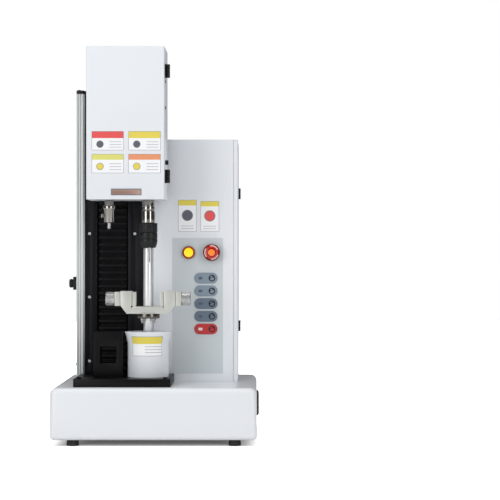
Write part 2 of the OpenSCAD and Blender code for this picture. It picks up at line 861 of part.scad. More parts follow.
module yoke() {
    bar_half = block_out - 14.5;
    outline = [
        [-bar_half, 0], [bar_half, 0], [block_out, 14.5 + 5], [block_out, bar_t + 1.5],
        [plate_out, bar_t + 1.5], [plate_out, bar_t + block_h - 1.8],
        [block_out, bar_t + block_h - 1.8], [block_out, bar_t + block_h],
        [block_in, bar_t + block_h], [block_in, bar_t],
        [-block_in, bar_t], [-block_in, bar_t + block_h], [-block_out, bar_t + block_h],
        [-block_out, bar_t + block_h - 1.8], [-plate_out, bar_t + block_h - 1.8],
        [-plate_out, bar_t + 1.5], [-block_out, bar_t + 1.5], [-block_out, 14.5 + 5]
    ];
    color(alloy) translate([torsion_x, station_y, yoke_z0]) difference() {
        translate([0, yoke_d / 2, 0]) to_front() linear_extrude(yoke_d) polygon(outline);
        for (s = [-1, 1]) {
            translate([s * (block_in + 1), yoke_d, bar_t]) to_front() cylinder(d = 3, h = 2 * yoke_d);
            translate([s * (block_in - cut), 0, knob_z - yoke_z0]) to_side(s)
                cylinder(d = plunger_d + 2 * fit, h = block_w + cut);
            translate([s * (block_out - cut), 0, knob_z - yoke_z0]) to_side(s)
                cylinder(d = clamp_screw_d + 2 * fit, h = plate_w + 2 * cut);
        }
        for (a = [45 : 90 : 315])
            rotate(a) translate([hub_d / 2 - 8, 0, -cut]) cylinder(d = 5, h = 10.2 + cut);
    }
}

// Jaw plate with its plunger; s is the side of the axis that it is on
module jaw(s) {
    plate_h = block_h - 2.4;
    color(alloy) translate([torsion_x, station_y, 0]) difference() {
        union() {
            translate([s > 0 ? jaw_in : -block_in + gap, -yoke_d / 2 + 1, bar_z1 + gap])
                cube([jaw_t - gap, yoke_d - 2, plate_h]);
            translate([s * (block_in - 2), 0, knob_z]) to_side(s) cylinder(d = plunger_d, h = plunger_l + 2);
        }
        translate([s * (block_in - 1), 0, knob_z]) to_side(s)
            cylinder(d = clamp_screw_d + 2 * fit, h = plunger_l + 4);
    }
}

module left_jaw() {
    jaw(-1);
}

module right_jaw() {
    jaw(1);
}

// Clamp knob with its screw; s is the side of the axis that it is on
module clamp_knob(s) {
    grip_n = 24;
    screw_l = plate_w + plunger_clear + jaw_travel + clamp_hold;
    color(steel) translate([torsion_x + s * (plate_out + gap), station_y, knob_z]) to_side(s) difference() {
        union() {
            rotate_extrude() polygon([[0, 0], [knob_d / 2 - 0.8, 0], [knob_d / 2, 0.8],
                [knob_d / 2, knob_w - 1.2], [knob_d / 2 - 1.2, knob_w], [0, knob_w]]);
            translate([0, 0, -screw_l]) cylinder(d = clamp_screw_d, h = screw_l + eps);
        }
        for (i = [0 : grip_n - 1])
            rotate(i * 360 / grip_n) translate([knob_d / 2 + 0.5, 0, 3])
                cylinder(d = 2.2, h = knob_w - 6, $fn = 16);
    }
}

module left_knob() {
    clamp_knob(-1);
}

module right_knob() {
    clamp_knob(1);
}

// Lift and head

module lead_screw() {
    color(steel) translate([push_x, screw_y, 0]) difference() {
        union() {
            translate([0, 0, coupling_z0]) cylinder(d = coupling_d, h = coupling_h);
            translate([0, 0, coupling_z0 + 1]) cylinder(d = journal_d, h = top_bearing_z + bearing_h - coupling_z0);
            translate([0, 0, low_bearing_z + bearing_h + gap])
                cylinder(d = screw_d, h = top_bearing_z - low_bearing_z - bearing_h - 2 * gap);
        }
        translate([0, 0, coupling_z0 - cut]) cylinder(d = 8 + 2 * fit, h = 21 + cut);
        translate([0, 0, coupling_z0 + coupling_h / 2]) tube(coupling_d + 2, coupling_d - 8, 2);
    }
}

module carriage() {
    color(alloy) union() {
        translate([push_x - 54, carriage_y0, carriage_z0]) cube([108, carriage_t, carriage_z1 - carriage_z0]);
        translate([push_x - neck_w / 2, hood_y1, neck_z0])
            cube([neck_w, carriage_y0 - hood_y1 + eps, neck_h]);
    }
}

module guide_blocks() {
    color(steel) for (s = [-1, 1], z = [carriage_z0 + 4, carriage_z1 - 4 - block_len])
        translate([push_x + s * rail_x, 0, z]) difference() {
            translate([-16.5, carriage_y1, 0]) cube([33, block_back - block_top, block_len]);
            translate([-rail_w / 2 - fit, web_y - 15 - fit, -cut])
                cube([rail_w + 2 * fit, 15, block_len + 2 * cut]);
        }
}

module ball_nut() {
    nut_d = 25;
    color(steel) translate([push_x, screw_y, nut_z0]) difference() {
        union() {
            cylinder(d = nut_d, h = nut_h);
            translate([-nut_d / 2, carriage_y1 - screw_y, 0]) cube([nut_d, screw_y - carriage_y1, nut_h]);
        }
        translate([0, 0, -cut]) cylinder(d = screw_d + 2 * fit, h = nut_h + 2 * cut);
    }
}

module head_frame() {
    x0 = hood_x0 + hood_t + 0.2;
    w = hood_w - 2 * hood_t - 0.4;
    color(alloy) union() {
        translate([x0, hood_y1 - frame_t, hood_z0 + 8]) cube([w, frame_t, hood_h - 8 - hood_t - 0.2]);
        translate([x0, station_y - 36, shelf_z0]) cube([w, hood_y1 - frame_t - station_y + 36 + eps, shelf_t]);
        for (x = [x0, x0 + w / 2 - 4, x0 + w - 8])
            translate([x, 0, shelf_z0 + shelf_t - eps]) rotate([90, 0, 90]) linear_extrude(8)
                polygon([[station_y - 30, 0], [hood_y1 - frame_t + eps, 0],
                    [hood_y1 - frame_t + eps, 80], [hood_y1 - frame_t - 12, 80]]);
    }
}

module hood_shell() {
    d = hood_y1 - hood_seam_y;
    cx = (hood_x0 + hood_x1) / 2;
    color(white) difference() {
        translate([hood_x0, hood_seam_y, hood_z0]) cube([hood_w, d, hood_h]);
        translate([hood_x0 + hood_t, hood_seam_y - cut, hood_z0 + hood_t])
            cube([hood_w - 2 * hood_t, d + 2 * cut, hood_h - 2 * hood_t]);
        translate([push_x, station_y, hood_z0 - cut]) cylinder(d = 24, h = hood_t + 2 * cut);
        translate([torsion_x, station_y, hood_z0 - cut]) cylinder(d = 34, h = hood_t + 2 * cut);
    }
}

hood_hinge_h = 30;
hood_hinge_zs = [hood_z0 + 37, hood_z0 + 273];
hood_hinge_r = 5.6;
hood_hinge_x = hood_x1 + hood_hinge_r + 0.1;

module hood_hinge(side) {
    for (z = hood_hinge_zs)
        translate([hood_hinge_x, hood_seam_y - seam / 2, z])
            hinge_leaf(hood_hinge_h, 16, 2, hood_hinge_r, 2, side);
}

module hood_hinges() {
    color(black) hood_hinge(1);
}

module hood_door() {
    corner_r = 4;
    color(white) union() {
        difference() {
            translate([(hood_x0 + hood_x1) / 2, 0, hood_z0]) union() {
                translate([0, hood_y0 + hood_door_d / 2 - seam / 2, 0])
                    round_plate(hood_w, hood_door_d - seam, hood_h, corner_r);
                translate([-hood_w / 2, hood_seam_y - seam - corner_r - 2, 0])
                    cube([hood_w, corner_r + 2, hood_h]);
            }
            translate([hood_x0 + hood_t, hood_y0 + hood_t, hood_z0 + hood_t])
                cube([hood_w - 2 * hood_t, hood_door_d, hood_h - 2 * hood_t]);
        }
        hood_hinge(-1);
    }
}

module load_cell() {
    w = 50;
    d = 25;
    h = load_cell_h;
    color(alloy) translate([push_x, station_y, shelf_z0 - h]) difference() {
        translate([-w / 2, -d / 2, 0]) cube([w, d, h]);
        translate([-w / 2 - cut, -d, 13]) cube([w - 9, 2 * d, 2.5]);
        translate([-w / 2 + 9 + cut, -d, h - 15.5]) cube([w, 2 * d, 2.5]);
        translate([0, d, h / 2]) to_front() cylinder(d = 20, h = 2 * d);
    }
}

module torque_sensor() {
    h = torque_sensor_h;
    color(alloy) translate([torsion_x, station_y, shelf_z0 - h]) {
        translate([0, 0, h - 10]) cylinder(d = 64, h = 10);
        translate([0, 0, 10 - eps]) cylinder(d = 50, h = h - 20 + 2 * eps);
        cylinder(d = 60, h = 10);
        translate([-10, -40, 20]) cube([20, 40, 30]);
    }
}

module push_spindle() {
    color(steel) translate([push_x, station_y, 0]) difference() {
        translate([0, 0, push_z0]) rotate_extrude()
            polygon([[0, 0], [push_body_d / 2 - 0.8, 0], [push_body_d / 2, 0.8],
                [push_body_d / 2, 30], [push_body_d / 2 + 2, 30], [push_body_d / 2 + 2.3, 31],
                [push_body_d / 2 + 2.3, 37], [push_body_d / 2 + 1.5, 38], [10, 38],
                [10, shelf_z0 - load_cell_h - push_z0], [0, shelf_z0 - load_cell_h - push_z0]]);
        translate([0, 0, push_z0 - cut]) cylinder(d = probe_d - 1 + 2 * fit, h = 20 + cut);
        translate([0, 0, push_z0 + 15]) to_side(-1) cylinder(d = 4 + 2 * fit, h = push_body_d);
    }
}

module push_probe() {
    color(steel) translate([push_x, station_y, push_z0 - probe_show]) union() {
        translate([0, 0, 1]) cylinder(d = probe_d, h = probe_show - 1);
        translate([0, 0, 2]) cylinder(d = probe_d - 1, h = probe_show + 17.8);
        cylinder(d1 = probe_d - 1.4, d2 = probe_d, h = 1 + eps);
    }
}

module thumb_screw() {
    grip_n = 12;
    reach = push_body_d / 2 + 0.4;
    color(steel) translate([push_x - reach, station_y, push_z0 + 15]) to_side(-1) difference() {
        union() {
            cylinder(d = 9, h = 6);
            translate([0, 0, -reach + probe_d / 2 - 0.3]) cylinder(d = 4, h = reach - probe_d / 2 + 0.3 + eps);
        }
        for (i = [0 : grip_n - 1])
            rotate(i * 360 / grip_n) translate([4.8, 0, -eps]) cylinder(d = 1.2, h = 7, $fn = 16);
    }
}

module torsion_spindle() {
    color(steel) translate([torsion_x, station_y, chuck_z1]) rotate_extrude()
        polygon([[0, 0], [15.2, 0], [16, 0.8], [16, 26.5], [15, 27.5], [13.4, 27.5], [13.4, 29],
            [15, 30], [15, 37.5], [14, 38.5], [14, shelf_z0 - torque_sensor_h - chuck_z1],
            [0, shelf_z0 - torque_sensor_h - chuck_z1]]);
}

module chuck_body() {
    flute_n = 16;
    color(black) translate([torsion_x, station_y, 0]) difference() {
        union() {
            translate([0, 0, chuck_z0 + sleeve_h + gap]) cylinder(d = chuck_d, h = chuck_h - sleeve_h - gap);
            translate([0, 0, chuck_z0 + 9]) cylinder(d = core_d, h = chuck_h - 10);
        }
        translate([0, 0, chuck_z0]) cylinder(d = chuck_mouth_d, h = chuck_bore_z - chuck_z0);
        for (i = [0 : flute_n - 1])
            rotate(i * 360 / flute_n) translate([chuck_d / 2 + 0.8, 0, chuck_z0 + sleeve_h - cut])
                cylinder(d = 3, h = chuck_h, $fn = 16);
    }
}

module chuck_sleeve() {
    r = chuck_d / 2;
    color(black) translate([torsion_x, station_y, chuck_z0]) rotate_extrude()
        polygon([[chuck_mouth_d / 2, 0], [r - 5.5, 0], [r - 4, 0.6], [r - 1.2, 8], [r, 13.4],
            [r, 20], [r - 0.6, 20.5], [r - 0.6, 21.5], [r, 22], [r, sleeve_h - 0.8], [r - 0.8, sleeve_h],
            [core_d / 2 + fit, sleeve_h], [core_d / 2 + fit, 8.5], [chuck_mouth_d / 2, 8.5]]);
}

module chuck_jaws() {
    color(steel) translate([torsion_x, station_y, shank_z0 + 4]) for (a = [30 : 120 : 270])
        rotate(a) intersection() {
            tube(chuck_mouth_d - 0.1, shank_d + 0.1, 34);
            translate([0, -4.5, -cut]) cube([chuck_d, 9, 40]);
        }
}

module test_rod() {
    slot_l = 32;
    color(steel) translate([torsion_x, station_y, 0]) difference() {
        union() {
            translate([0, 0, rod_z0]) cylinder(d = rod_d, h = shank_z0 - rod_z0);
            translate([0, 0, shank_z0 - eps]) cylinder(d = shank_d, h = 40);
        }
        translate([2.5, -rod_d, chuck_z0 - slot_l]) cube([2, rod_d, slot_l - 2]);
    }
}

// Limit stop

module limit_stop() {
    h = 30;
    color(black) translate([limit_x0, limit_y0 + limit_d / 2, stop_z - h / 2]) difference() {
        union() {
            translate([-8, -9, 0]) cube([8 - gap, 18, h]);
            translate([-gap - eps, -3 + gap, 0]) cube([2 * gap + 3.2, 6 - 2 * gap, h]);
            translate([2.5 + gap, -5 + gap, 0]) cube([3 - 2 * gap, 10 - 2 * gap, h]);
        }
        translate([cut, 0, h / 2]) to_side(-1) cylinder(d = 5 + 2 * fit, h = 12);
    }
}

module limit_knob() {
    grip_n = 16;
    d = 20;
    color(black) translate([limit_x0 - 8 - gap, limit_y0 + limit_d / 2, stop_z]) to_side(-1) difference() {
        union() {
            cylinder(d = d, h = 9);
            translate([0, 0, -7]) cylinder(d = 5, h = 7 + eps);
        }
        for (i = [0 : grip_n - 1])
            rotate(i * 360 / grip_n) translate([d / 2 + 0.6, 0, -eps]) cylinder(d = 2.4, h = 10, $fn = 16);
    }
}

base_shell();
base_frame();
feet();
side_grips();
bed_plate();
cap_screws();
column_channel();
column_face_plates();
end_caps();
guide_rails();
bearings();
lift_motor();
bellows();
limit_rail();
cabinet_shell();
front_panel();
switch_bodies();
circuit_boards();
power_supply();
rear_sockets();
drive_cover();
torsion_gearmotor();
anvil_block();
side_hinges();
carriage();
guide_blocks();
ball_nut();
head_frame();
hood_shell();
hood_hinges();
load_cell();
torque_sensor();
push_spindle();
push_probe();
torsion_spindle();
chuck_body();
chuck_jaws();
test_rod();
hood_door();
side_door();
lead_screw();
drive_shaft();
hub_screws();
yoke();
left_jaw();
right_jaw();
left_knob();
right_knob();
chuck_sleeve();
thumb_screw();
power_lens();
stop_stem();
stop_cap();
key(4);  // key_1
key(3);  // key_2
key(2);  // key_3
key(1);  // key_4
key(0);  // key_5
limit_stop();
limit_knob();
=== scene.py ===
"""Bench torsion tester: finished pieces, finishes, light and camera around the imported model.

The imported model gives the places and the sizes. Lengths are in metres, X to the right, Y to the
back, Z up.
"""
import json
import logging
import math
from dataclasses import dataclass, field, replace
from enum import Enum
from typing import Callable, Iterable

import bpy
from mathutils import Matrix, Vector


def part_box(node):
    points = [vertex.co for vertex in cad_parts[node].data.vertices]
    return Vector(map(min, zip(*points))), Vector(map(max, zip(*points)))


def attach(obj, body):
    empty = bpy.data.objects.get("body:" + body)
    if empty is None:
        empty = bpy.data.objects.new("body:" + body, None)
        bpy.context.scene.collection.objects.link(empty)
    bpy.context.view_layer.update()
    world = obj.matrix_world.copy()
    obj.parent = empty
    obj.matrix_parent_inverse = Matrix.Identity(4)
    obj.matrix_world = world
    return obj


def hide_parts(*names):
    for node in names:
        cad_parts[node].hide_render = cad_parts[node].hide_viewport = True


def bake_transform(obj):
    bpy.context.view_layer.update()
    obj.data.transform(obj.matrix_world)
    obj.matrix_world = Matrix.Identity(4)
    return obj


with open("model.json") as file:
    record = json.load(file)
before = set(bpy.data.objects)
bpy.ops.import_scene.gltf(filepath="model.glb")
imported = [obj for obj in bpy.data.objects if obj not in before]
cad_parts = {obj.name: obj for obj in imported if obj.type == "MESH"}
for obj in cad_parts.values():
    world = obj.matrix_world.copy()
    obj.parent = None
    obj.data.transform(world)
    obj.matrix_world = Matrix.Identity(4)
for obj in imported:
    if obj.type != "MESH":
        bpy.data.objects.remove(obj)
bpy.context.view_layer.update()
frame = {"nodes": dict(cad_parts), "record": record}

MM = 0.001
TO_FRONT = Vector((0, -1, 0))
TO_RIGHT = Vector((1, 0, 0))
TO_LEFT = Vector((-1, 0, 0))
FACING = 0.9  # share of a face's normal, above which the face looks that way
ACROSS = 0.1  # share of a face's normal, below which the face looks sideways
SPARE = 1.0 * MM  # how far a cutter or a joined piece reaches past a surface
SMOOTH_ANGLE = math.radians(32)
FLAT_ANGLE = math.radians(0.4)
WELD_DISTANCE = 0.002 * MM
COAT_ROUGHNESS = 0.12
BUMP_STRENGTH = 0.6
KEY_FLANGE = (2.5 * MM, 2.0 * MM)  # a key's hidden flange beside its cap, along X and Z
Rgb = tuple[int, int, int]
Point = tuple[float, float, float]
Span = tuple[float, float]
FaceTest = Callable[[bpy.types.MeshPolygon], bool]
Feeds = dict[str | int, object]
log = logging.getLogger("torsion_tester")


def linear(colour: Rgb) -> tuple[float, float, float, float]:
    """Turns a screen colour into Blender's linear colour, by the usual formula.

    Args:
        colour: red, green and blue from 0 to 255.

    Returns:
        The linear colour with an alpha of 1.
    """
    shares = [c / 255 for c in colour]
    low = [c / 12.92 if c <= 0.04045 else ((c + 0.055) / 1.055) ** 2.4 for c in shares]
    return (low[0], low[1], low[2], 1.0)


def faces_front(face: bpy.types.MeshPolygon) -> bool:
    """Tells whether a face looks to the front."""
    return face.normal.y < -FACING


def feed(tree: bpy.types.NodeTree, node: bpy.types.Node, feeds: Feeds) -> None:
    """Links or sets a node's inputs.

    Args:
        tree: the node tree.
        node: the node.
        feeds: for each input, the socket that feeds it, or its value.
    """
    for key, value in feeds.items():
        if isinstance(value, bpy.types.NodeSocket):
            tree.links.new(value, node.inputs[key])
        else:
            node.inputs[key].default_value = value


def add_node(tree: bpy.types.NodeTree, kind: str, feeds: Feeds,
             **settings: object) -> bpy.types.Node:
    """Adds a shader node, sets it and feeds it.

    Args:
        tree: the node tree.
        kind: the kind of node, as its type says after ShaderNode.
        feeds: for each input, the socket that feeds it, or its value.
        settings: the node's own settings.

    Returns:
        The node.
    """
    node = tree.nodes.new(f"ShaderNode{kind}")
    for key, value in settings.items():
        setattr(node, key, value)
    feed(tree, node, feeds)
    return node


def calculate(tree: bpy.types.NodeTree, operation: str, first: bpy.types.NodeSocket,
              second: bpy.types.NodeSocket | float = 0.0) -> bpy.types.NodeSocket:
    """Adds a math node and gives its result."""
    return add_node(tree, "Math", {0: first, 1: second}, operation=operation).outputs[0]


class Camera:
    """The viewpoint of the photograph."""

    PLACE = (0.2267, -4.235, 0.429)
    FOCAL = 130.9
    SENSOR = 36.0
    SHIFT = (-0.012, 0.004)
    REACH = 100.0

    def build(self) -> bpy.types.Object:
        """Adds the camera and makes it the scene's camera.

        Returns:
            The camera object.
        """
        bpy.ops.object.select_all(action="DESELECT")
        bpy.ops.object.camera_add(location=self.PLACE, rotation=(math.pi / 2, 0, 0))
        camera = bpy.context.object
        camera.name = "photo_camera"
        camera.data.sensor_width = self.SENSOR
        camera.data.lens = self.FOCAL
        camera.data.shift_x, camera.data.shift_y = self.SHIFT
        camera.data.clip_end = self.REACH
        bpy.context.scene.camera = camera
        return camera


class Skin(Enum):
    """The surface patterns that the finishes are made of."""

    PAINT = "paint_skin"
    TURNED = "turned_skin"
    BRUSHED = "brushed_skin"
    MOULDED = "moulded_skin"
    CLOTH = "cloth_skin"


class SkinGroups:
    """Builds each surface pattern once, as a shader node group."""

    INPUTS = (("Vector", "NodeSocketVector"), ("Colour", "NodeSocketColor"),
              ("Tone", "NodeSocketFloat"), ("Scale", "NodeSocketFloat"),
              ("Roughness", "NodeSocketFloat"), ("Spread", "NodeSocketFloat"))
    OUTPUTS = (("Colour", "NodeSocketColor"), ("Roughness", "NodeSocketFloat"),
               ("Height", "NodeSocketFloat"))
    CLOUD_SCALE = 14.0
    CLOUD_DETAIL = 4.0
    PAINT_DETAIL = 2.0
    TURNED_DETAIL = 1.0
    BRUSHED_DETAIL = 3.0
    NOISE_ROUGHNESS = 0.55
    MIDDLE = 0.5
    FINE_SHARE = 0.5
    STROKE = (1.0, 1.0, 0.02)
    WEAVE_WOBBLE = 0.4

    def __init__(self) -> None:
        """Starts with no group built."""
        self.built: dict[Skin, bpy.types.NodeTree] = {}

    def get(self, skin: Skin) -> bpy.types.NodeTree:
        """Gives the node group of a pattern, building it the first time.

        Args:
            skin: the pattern that is wanted.

        Returns:
            The shader node group.
        """
        if skin not in self.built:
            self.built[skin] = self._build(skin)
        return self.built[skin]

    def _build(self, skin: Skin) -> bpy.types.NodeTree:
        """Builds one group with the common sockets around its own height pattern.

        Args:
            skin: the pattern that the group gives.

        Returns:
            The shader node group.
        """
        tree = bpy.data.node_groups.new(skin.value, "ShaderNodeTree")
        for way, sockets in (("INPUT", self.INPUTS), ("OUTPUT", self.OUTPUTS)):
            for name, kind in sockets:
                tree.interface.new_socket(name=name, in_out=way, socket_type=kind)
        entry = tree.nodes.new("NodeGroupInput")
        leave = tree.nodes.new("NodeGroupOutput")
        makers = {Skin.PAINT: self._paint, Skin.TURNED: self._turned, Skin.BRUSHED: self._brushed,
                  Skin.MOULDED: self._moulded, Skin.CLOTH: self._cloth}
        height = makers[skin](tree, entry)
        cloud = self._noise(tree, entry.outputs["Vector"], self.CLOUD_SCALE, self.CLOUD_DETAIL)
        self._put_out(tree, entry, leave, height, cloud)
        return tree

    def _noise(self, tree: bpy.types.NodeTree, vector: bpy.types.NodeSocket,
               scale: float | bpy.types.NodeSocket, detail: float) -> bpy.types.NodeSocket:
        """Adds a noise texture.

        Args:
            tree: the node tree.
            vector: where the pattern is read.
            scale: a number, or the socket that gives it.
            detail: number of finer layers.

        Returns:
            The socket of its value.
        """
        node = add_node(tree, "TexNoise", {"Vector": vector, "Scale": scale, "Detail": detail,
                                           "Roughness": self.NOISE_ROUGHNESS})
        return node.outputs["Fac"]

    def _put_out(self, tree: bpy.types.NodeTree, entry: bpy.types.Node, leave: bpy.types.Node,
                 height: bpy.types.NodeSocket, cloud: bpy.types.NodeSocket) -> None:
        """Varies the colour and the roughness by the pattern and by soft clouds of handling.

        Args:
            tree: the node tree.
            entry: the group's input node.
            leave: the group's output node.
            height: the fine pattern.
            cloud: the broad pattern.
        """
        centred = calculate(tree, "SUBTRACT", cloud, self.MIDDLE)
        fine = calculate(tree, "SUBTRACT", height, self.MIDDLE)
        both = calculate(tree, "ADD", centred, calculate(tree, "MULTIPLY", fine, self.FINE_SHARE))
        tone = calculate(tree, "MULTIPLY", both, entry.outputs["Tone"])
        tint = add_node(tree, "HueSaturation", {"Color": entry.outputs["Colour"],
                                                "Value": calculate(tree, "ADD", tone, 1.0)})
        spread = calculate(tree, "MULTIPLY", both, entry.outputs["Spread"])
        rough = calculate(tree, "ADD", spread, entry.outputs["Roughness"])
        feed(tree, leave, {"Colour": tint.outputs["Color"], "Roughness": rough, "Height": height})

    def _paint(self, tree: bpy.types.NodeTree, entry: bpy.types.Node) -> bpy.types.NodeSocket:
        """Gives the orange peel of a powder coat."""
        return self._noise(tree, entry.outputs["Vector"], entry.outputs["Scale"],
                           self.PAINT_DETAIL)

    def _turned(self, tree: bpy.types.NodeTree, entry: bpy.types.Node) -> bpy.types.NodeSocket:
        """Gives fine rings about the pattern's own Z axis, as a lathe leaves them.

        Args:
            tree: the node tree.
            entry: the group's input node.

        Returns:
            The socket of the height.
        """
        split = add_node(tree, "SeparateXYZ", {0: entry.outputs["Vector"]})
        squares = [calculate(tree, "MULTIPLY", split.outputs[axis], split.outputs[axis])
                   for axis in ("X", "Y")]
        radius = calculate(tree, "SQRT", calculate(tree, "ADD", *squares))
        join = add_node(tree, "CombineXYZ", {"X": radius, "Z": split.outputs["Z"]})
        return self._noise(tree, join.outputs[0], entry.outputs["Scale"], self.TURNED_DETAIL)

    def _brushed(self, tree: bpy.types.NodeTree, entry: bpy.types.Node) -> bpy.types.NodeSocket:
        """Gives long strokes along the pattern's own Z axis.

        Args:
            tree: the node tree.
            entry: the group's input node.

        Returns:
            The socket of the height.
        """
        stretch = add_node(tree, "Mapping", {"Vector": entry.outputs["Vector"],
                                             "Scale": self.STROKE})
        return self._noise(tree, stretch.outputs[0], entry.outputs["Scale"], self.BRUSHED_DETAIL)

    def _moulded(self, tree: bpy.types.NodeTree, entry: bpy.types.Node) -> bpy.types.NodeSocket:
        """Gives the fine grain that a spark-eroded mould leaves.

        Args:
            tree: the node tree.
            entry: the group's input node.

        Returns:
            The socket of the height.
        """
        cells = add_node(tree, "TexVoronoi", {"Vector": entry.outputs["Vector"],
                                              "Scale": entry.outputs["Scale"]},
                         feature="SMOOTH_F1")
        return cells.outputs["Distance"]

    def _cloth(self, tree: bpy.types.NodeTree, entry: bpy.types.Node) -> bpy.types.NodeSocket:
        """Gives the weave of a coated cloth, with threads along X and Z.

        Args:
            tree: the node tree.
            entry: the group's input node.

        Returns:
            The socket of the height.
        """
        feeds = {"Vector": entry.outputs["Vector"], "Scale": entry.outputs["Scale"],
                 "Distortion": self.WEAVE_WOBBLE}
        waves = [add_node(tree, "TexWave", feeds, bands_direction=axis).outputs["Fac"]
                 for axis in ("X", "Z")]
        return calculate(tree, "MULTIPLY", *waves)


class Turn(Enum):
    """Which way the axis of a pattern or of a blank points, as a rotation."""

    UP = (0.0, 0.0, 0.0)
    ALONG_X = (0.0, math.pi / 2, 0.0)
    ALONG_Y = (math.pi / 2, 0.0, 0.0)


@dataclass(frozen=True)
class Finish:
    """One finish: a base colour with a skin pattern, and the constants of its shader."""

    name: str
    slot: str
    colour: Rgb
    skin: Skin
    scale: float
    depth: float
    roughness: float
    spread: float = 0.1
    tone: float = 0.05
    metallic: float = 0.0
    specular: float = 0.5
    coat: float = 0.0
    glow: float = 0.0
    centre: Point = (0.0, 0.0, 0.0)
    turn: Turn = Turn.UP

    def about(self, tag: str, centre: Point, turn: Turn) -> "Finish":
        """Gives the same finish, tagged, with its pattern round an axis through a point."""
        return replace(self, name=f"{self.name}_{tag}", centre=centre, turn=turn)

    def material(self, groups: SkinGroups) -> bpy.types.Material:
        """Makes the material, or gives it if it was made before.

        Args:
            groups: the shader node groups of the skins.

        Returns:
            The material.
        """
        if self.name in bpy.data.materials:
            return bpy.data.materials[self.name]
        material = bpy.data.materials.new(self.name)
        material.use_nodes = True
        tree = material.node_tree
        place = add_node(tree, "TexCoord", {})
        mapping = add_node(tree, "Mapping", {"Vector": place.outputs["Object"],
                                             "Location": self.centre,
                                             "Rotation": self.turn.value},
                           vector_type="TEXTURE")
        skin = add_node(tree, "Group", {"Vector": mapping.outputs[0],
                                        "Colour": linear(self.colour), "Tone": self.tone,
                                        "Scale": self.scale, "Roughness": self.roughness,
                                        "Spread": self.spread},
                        node_tree=groups.get(self.skin))
        bump = add_node(tree, "Bump", {"Height": skin.outputs["Height"], "Distance": self.depth,
                                       "Strength": BUMP_STRENGTH})
        shader = tree.nodes["Principled BSDF"]
        feed(tree, shader, {"Base Color": skin.outputs["Colour"],
                            "Roughness": skin.outputs["Roughness"], "Normal": bump.outputs[0],
                            "Metallic": self.metallic, "Specular IOR Level": self.specular,
                            "Coat Weight": self.coat, "Coat Roughness": COAT_ROUGHNESS})
        if self.glow:
            feed(tree, shader, {"Emission Color": skin.outputs["Colour"],
                                "Emission Strength": self.glow})
        return material


WHITE = Finish("white_powder_coat", "white_paint", (226, 230, 235), Skin.PAINT, 900.0, 0.00004,
               0.42, 0.08, 0.02, coat=0.1)
BASE_WHITE = Finish("base_gloss_coat", "base_white", (228, 231, 235), Skin.PAINT, 900.0, 0.000004,
                    0.34, 0.03, 0.012, coat=0.25)
BLACK = Finish("black_satin_coat", "black_paint", (10, 10, 12), Skin.PAINT, 1400.0, 0.00006,
               0.4, 0.12, 0.25, specular=0.2)
BLACK_FACE = Finish("black_column_coat", "black_paint", (14, 15, 20), Skin.PAINT, 1400.0, 0.00006,
                    0.45, 0.12, 0.25, specular=0.2)
RUBBER = Finish("black_rubber", "black_rubber", (20, 20, 22), Skin.MOULDED, 1500.0, 0.00008,
                0.78, 0.1, 0.2, specular=0.3)
SHEET = Finish("coated_cloth", "bellows_sheet", (17, 17, 20), Skin.CLOTH, 420.0, 0.00008,
               0.72, 0.14, 0.3, specular=0.3)
POLISHED = Finish("polished_steel", "polished_steel", (164, 161, 156), Skin.TURNED, 2600.0,
                  0.000002, 0.08, 0.05, 0.05, metallic=1.0)
GROUND = Finish("ground_steel", "polished_steel", (240, 241, 242), Skin.TURNED, 2600.0,
                0.000003, 0.4, 0.05, 0.03, metallic=0.85)
KNOB = Finish("knob_bright_steel", "satin_steel", (208, 208, 207), Skin.TURNED, 1700.0,
              0.000006, 0.34, 0.1, 0.05, metallic=0.9)
HUB = Finish("hub_dark_steel", "satin_steel", (112, 109, 103), Skin.TURNED, 1700.0, 0.00001,
             0.26, 0.12, 0.1, metallic=1.0)
SATIN = Finish("satin_steel", "satin_steel", (186, 186, 188), Skin.TURNED, 1700.0, 0.00002,
               0.32, 0.16, 0.1, metallic=1.0)
CHUCK = Finish("chuck_black_oxide", "chuck_black", (22, 23, 25), Skin.MOULDED, 2200.0, 0.00004,
               0.42, 0.12, 0.2, specular=0.35)
YOKE = Finish("yoke_anodised_alloy", "yoke_alloy", (204, 205, 199), Skin.MOULDED, 2600.0,
              0.00003, 0.4, 0.12, 0.05, metallic=0.3)
RAIL = Finish("rail_anodised_alloy", "rail_alloy", (214, 217, 217), Skin.BRUSHED, 2400.0,
              0.00002, 0.4, 0.14, 0.06, metallic=0.3)
PLATE = Finish("milled_alloy", "plate_alloy", (176, 178, 181), Skin.BRUSHED, 1500.0, 0.00003,
               0.4, 0.16, 0.08, metallic=0.9)
PLASTIC = Finish("black_moulded_plastic", "black_plastic", (24, 24, 26), Skin.MOULDED, 1800.0,
                 0.00005, 0.5, 0.1, 0.15, specular=0.35)
KEY_BLUE = Finish("key_blue_plastic", "key_blue", (130, 146, 160), Skin.MOULDED, 2400.0, 0.00002,
                  0.45, 0.06, 0.04)
KEY_DARK = Finish("key_dark_plastic", "key_dark", (104, 118, 136), Skin.MOULDED, 2400.0, 0.00002,
                  0.45, 0.06, 0.04)
KEY_RED = Finish("key_red_plastic", "key_red", (196, 48, 50), Skin.MOULDED, 2400.0, 0.00002,
                 0.42, 0.06, 0.04)
# Painted glow: the amber on the power collar's front stands in for the halo of light round the lit
# lens.
COLLAR = Finish("collar_painted_halo", "lens_amber", (150, 70, 16), Skin.MOULDED, 1200.0,
                0.00002, 0.34, 0.06, 0.05)
COLLAR_STOP = Finish("collar_stop_plastic", "stop_red", (78, 16, 20), Skin.MOULDED, 1200.0,
                     0.00002, 0.34, 0.06, 0.05)
LENS = Finish("amber_lens_rim", "lens_amber", (206, 96, 12), Skin.MOULDED, 700.0, 0.0001,
              0.2, 0.05, 0.1, coat=0.6, glow=0.1)
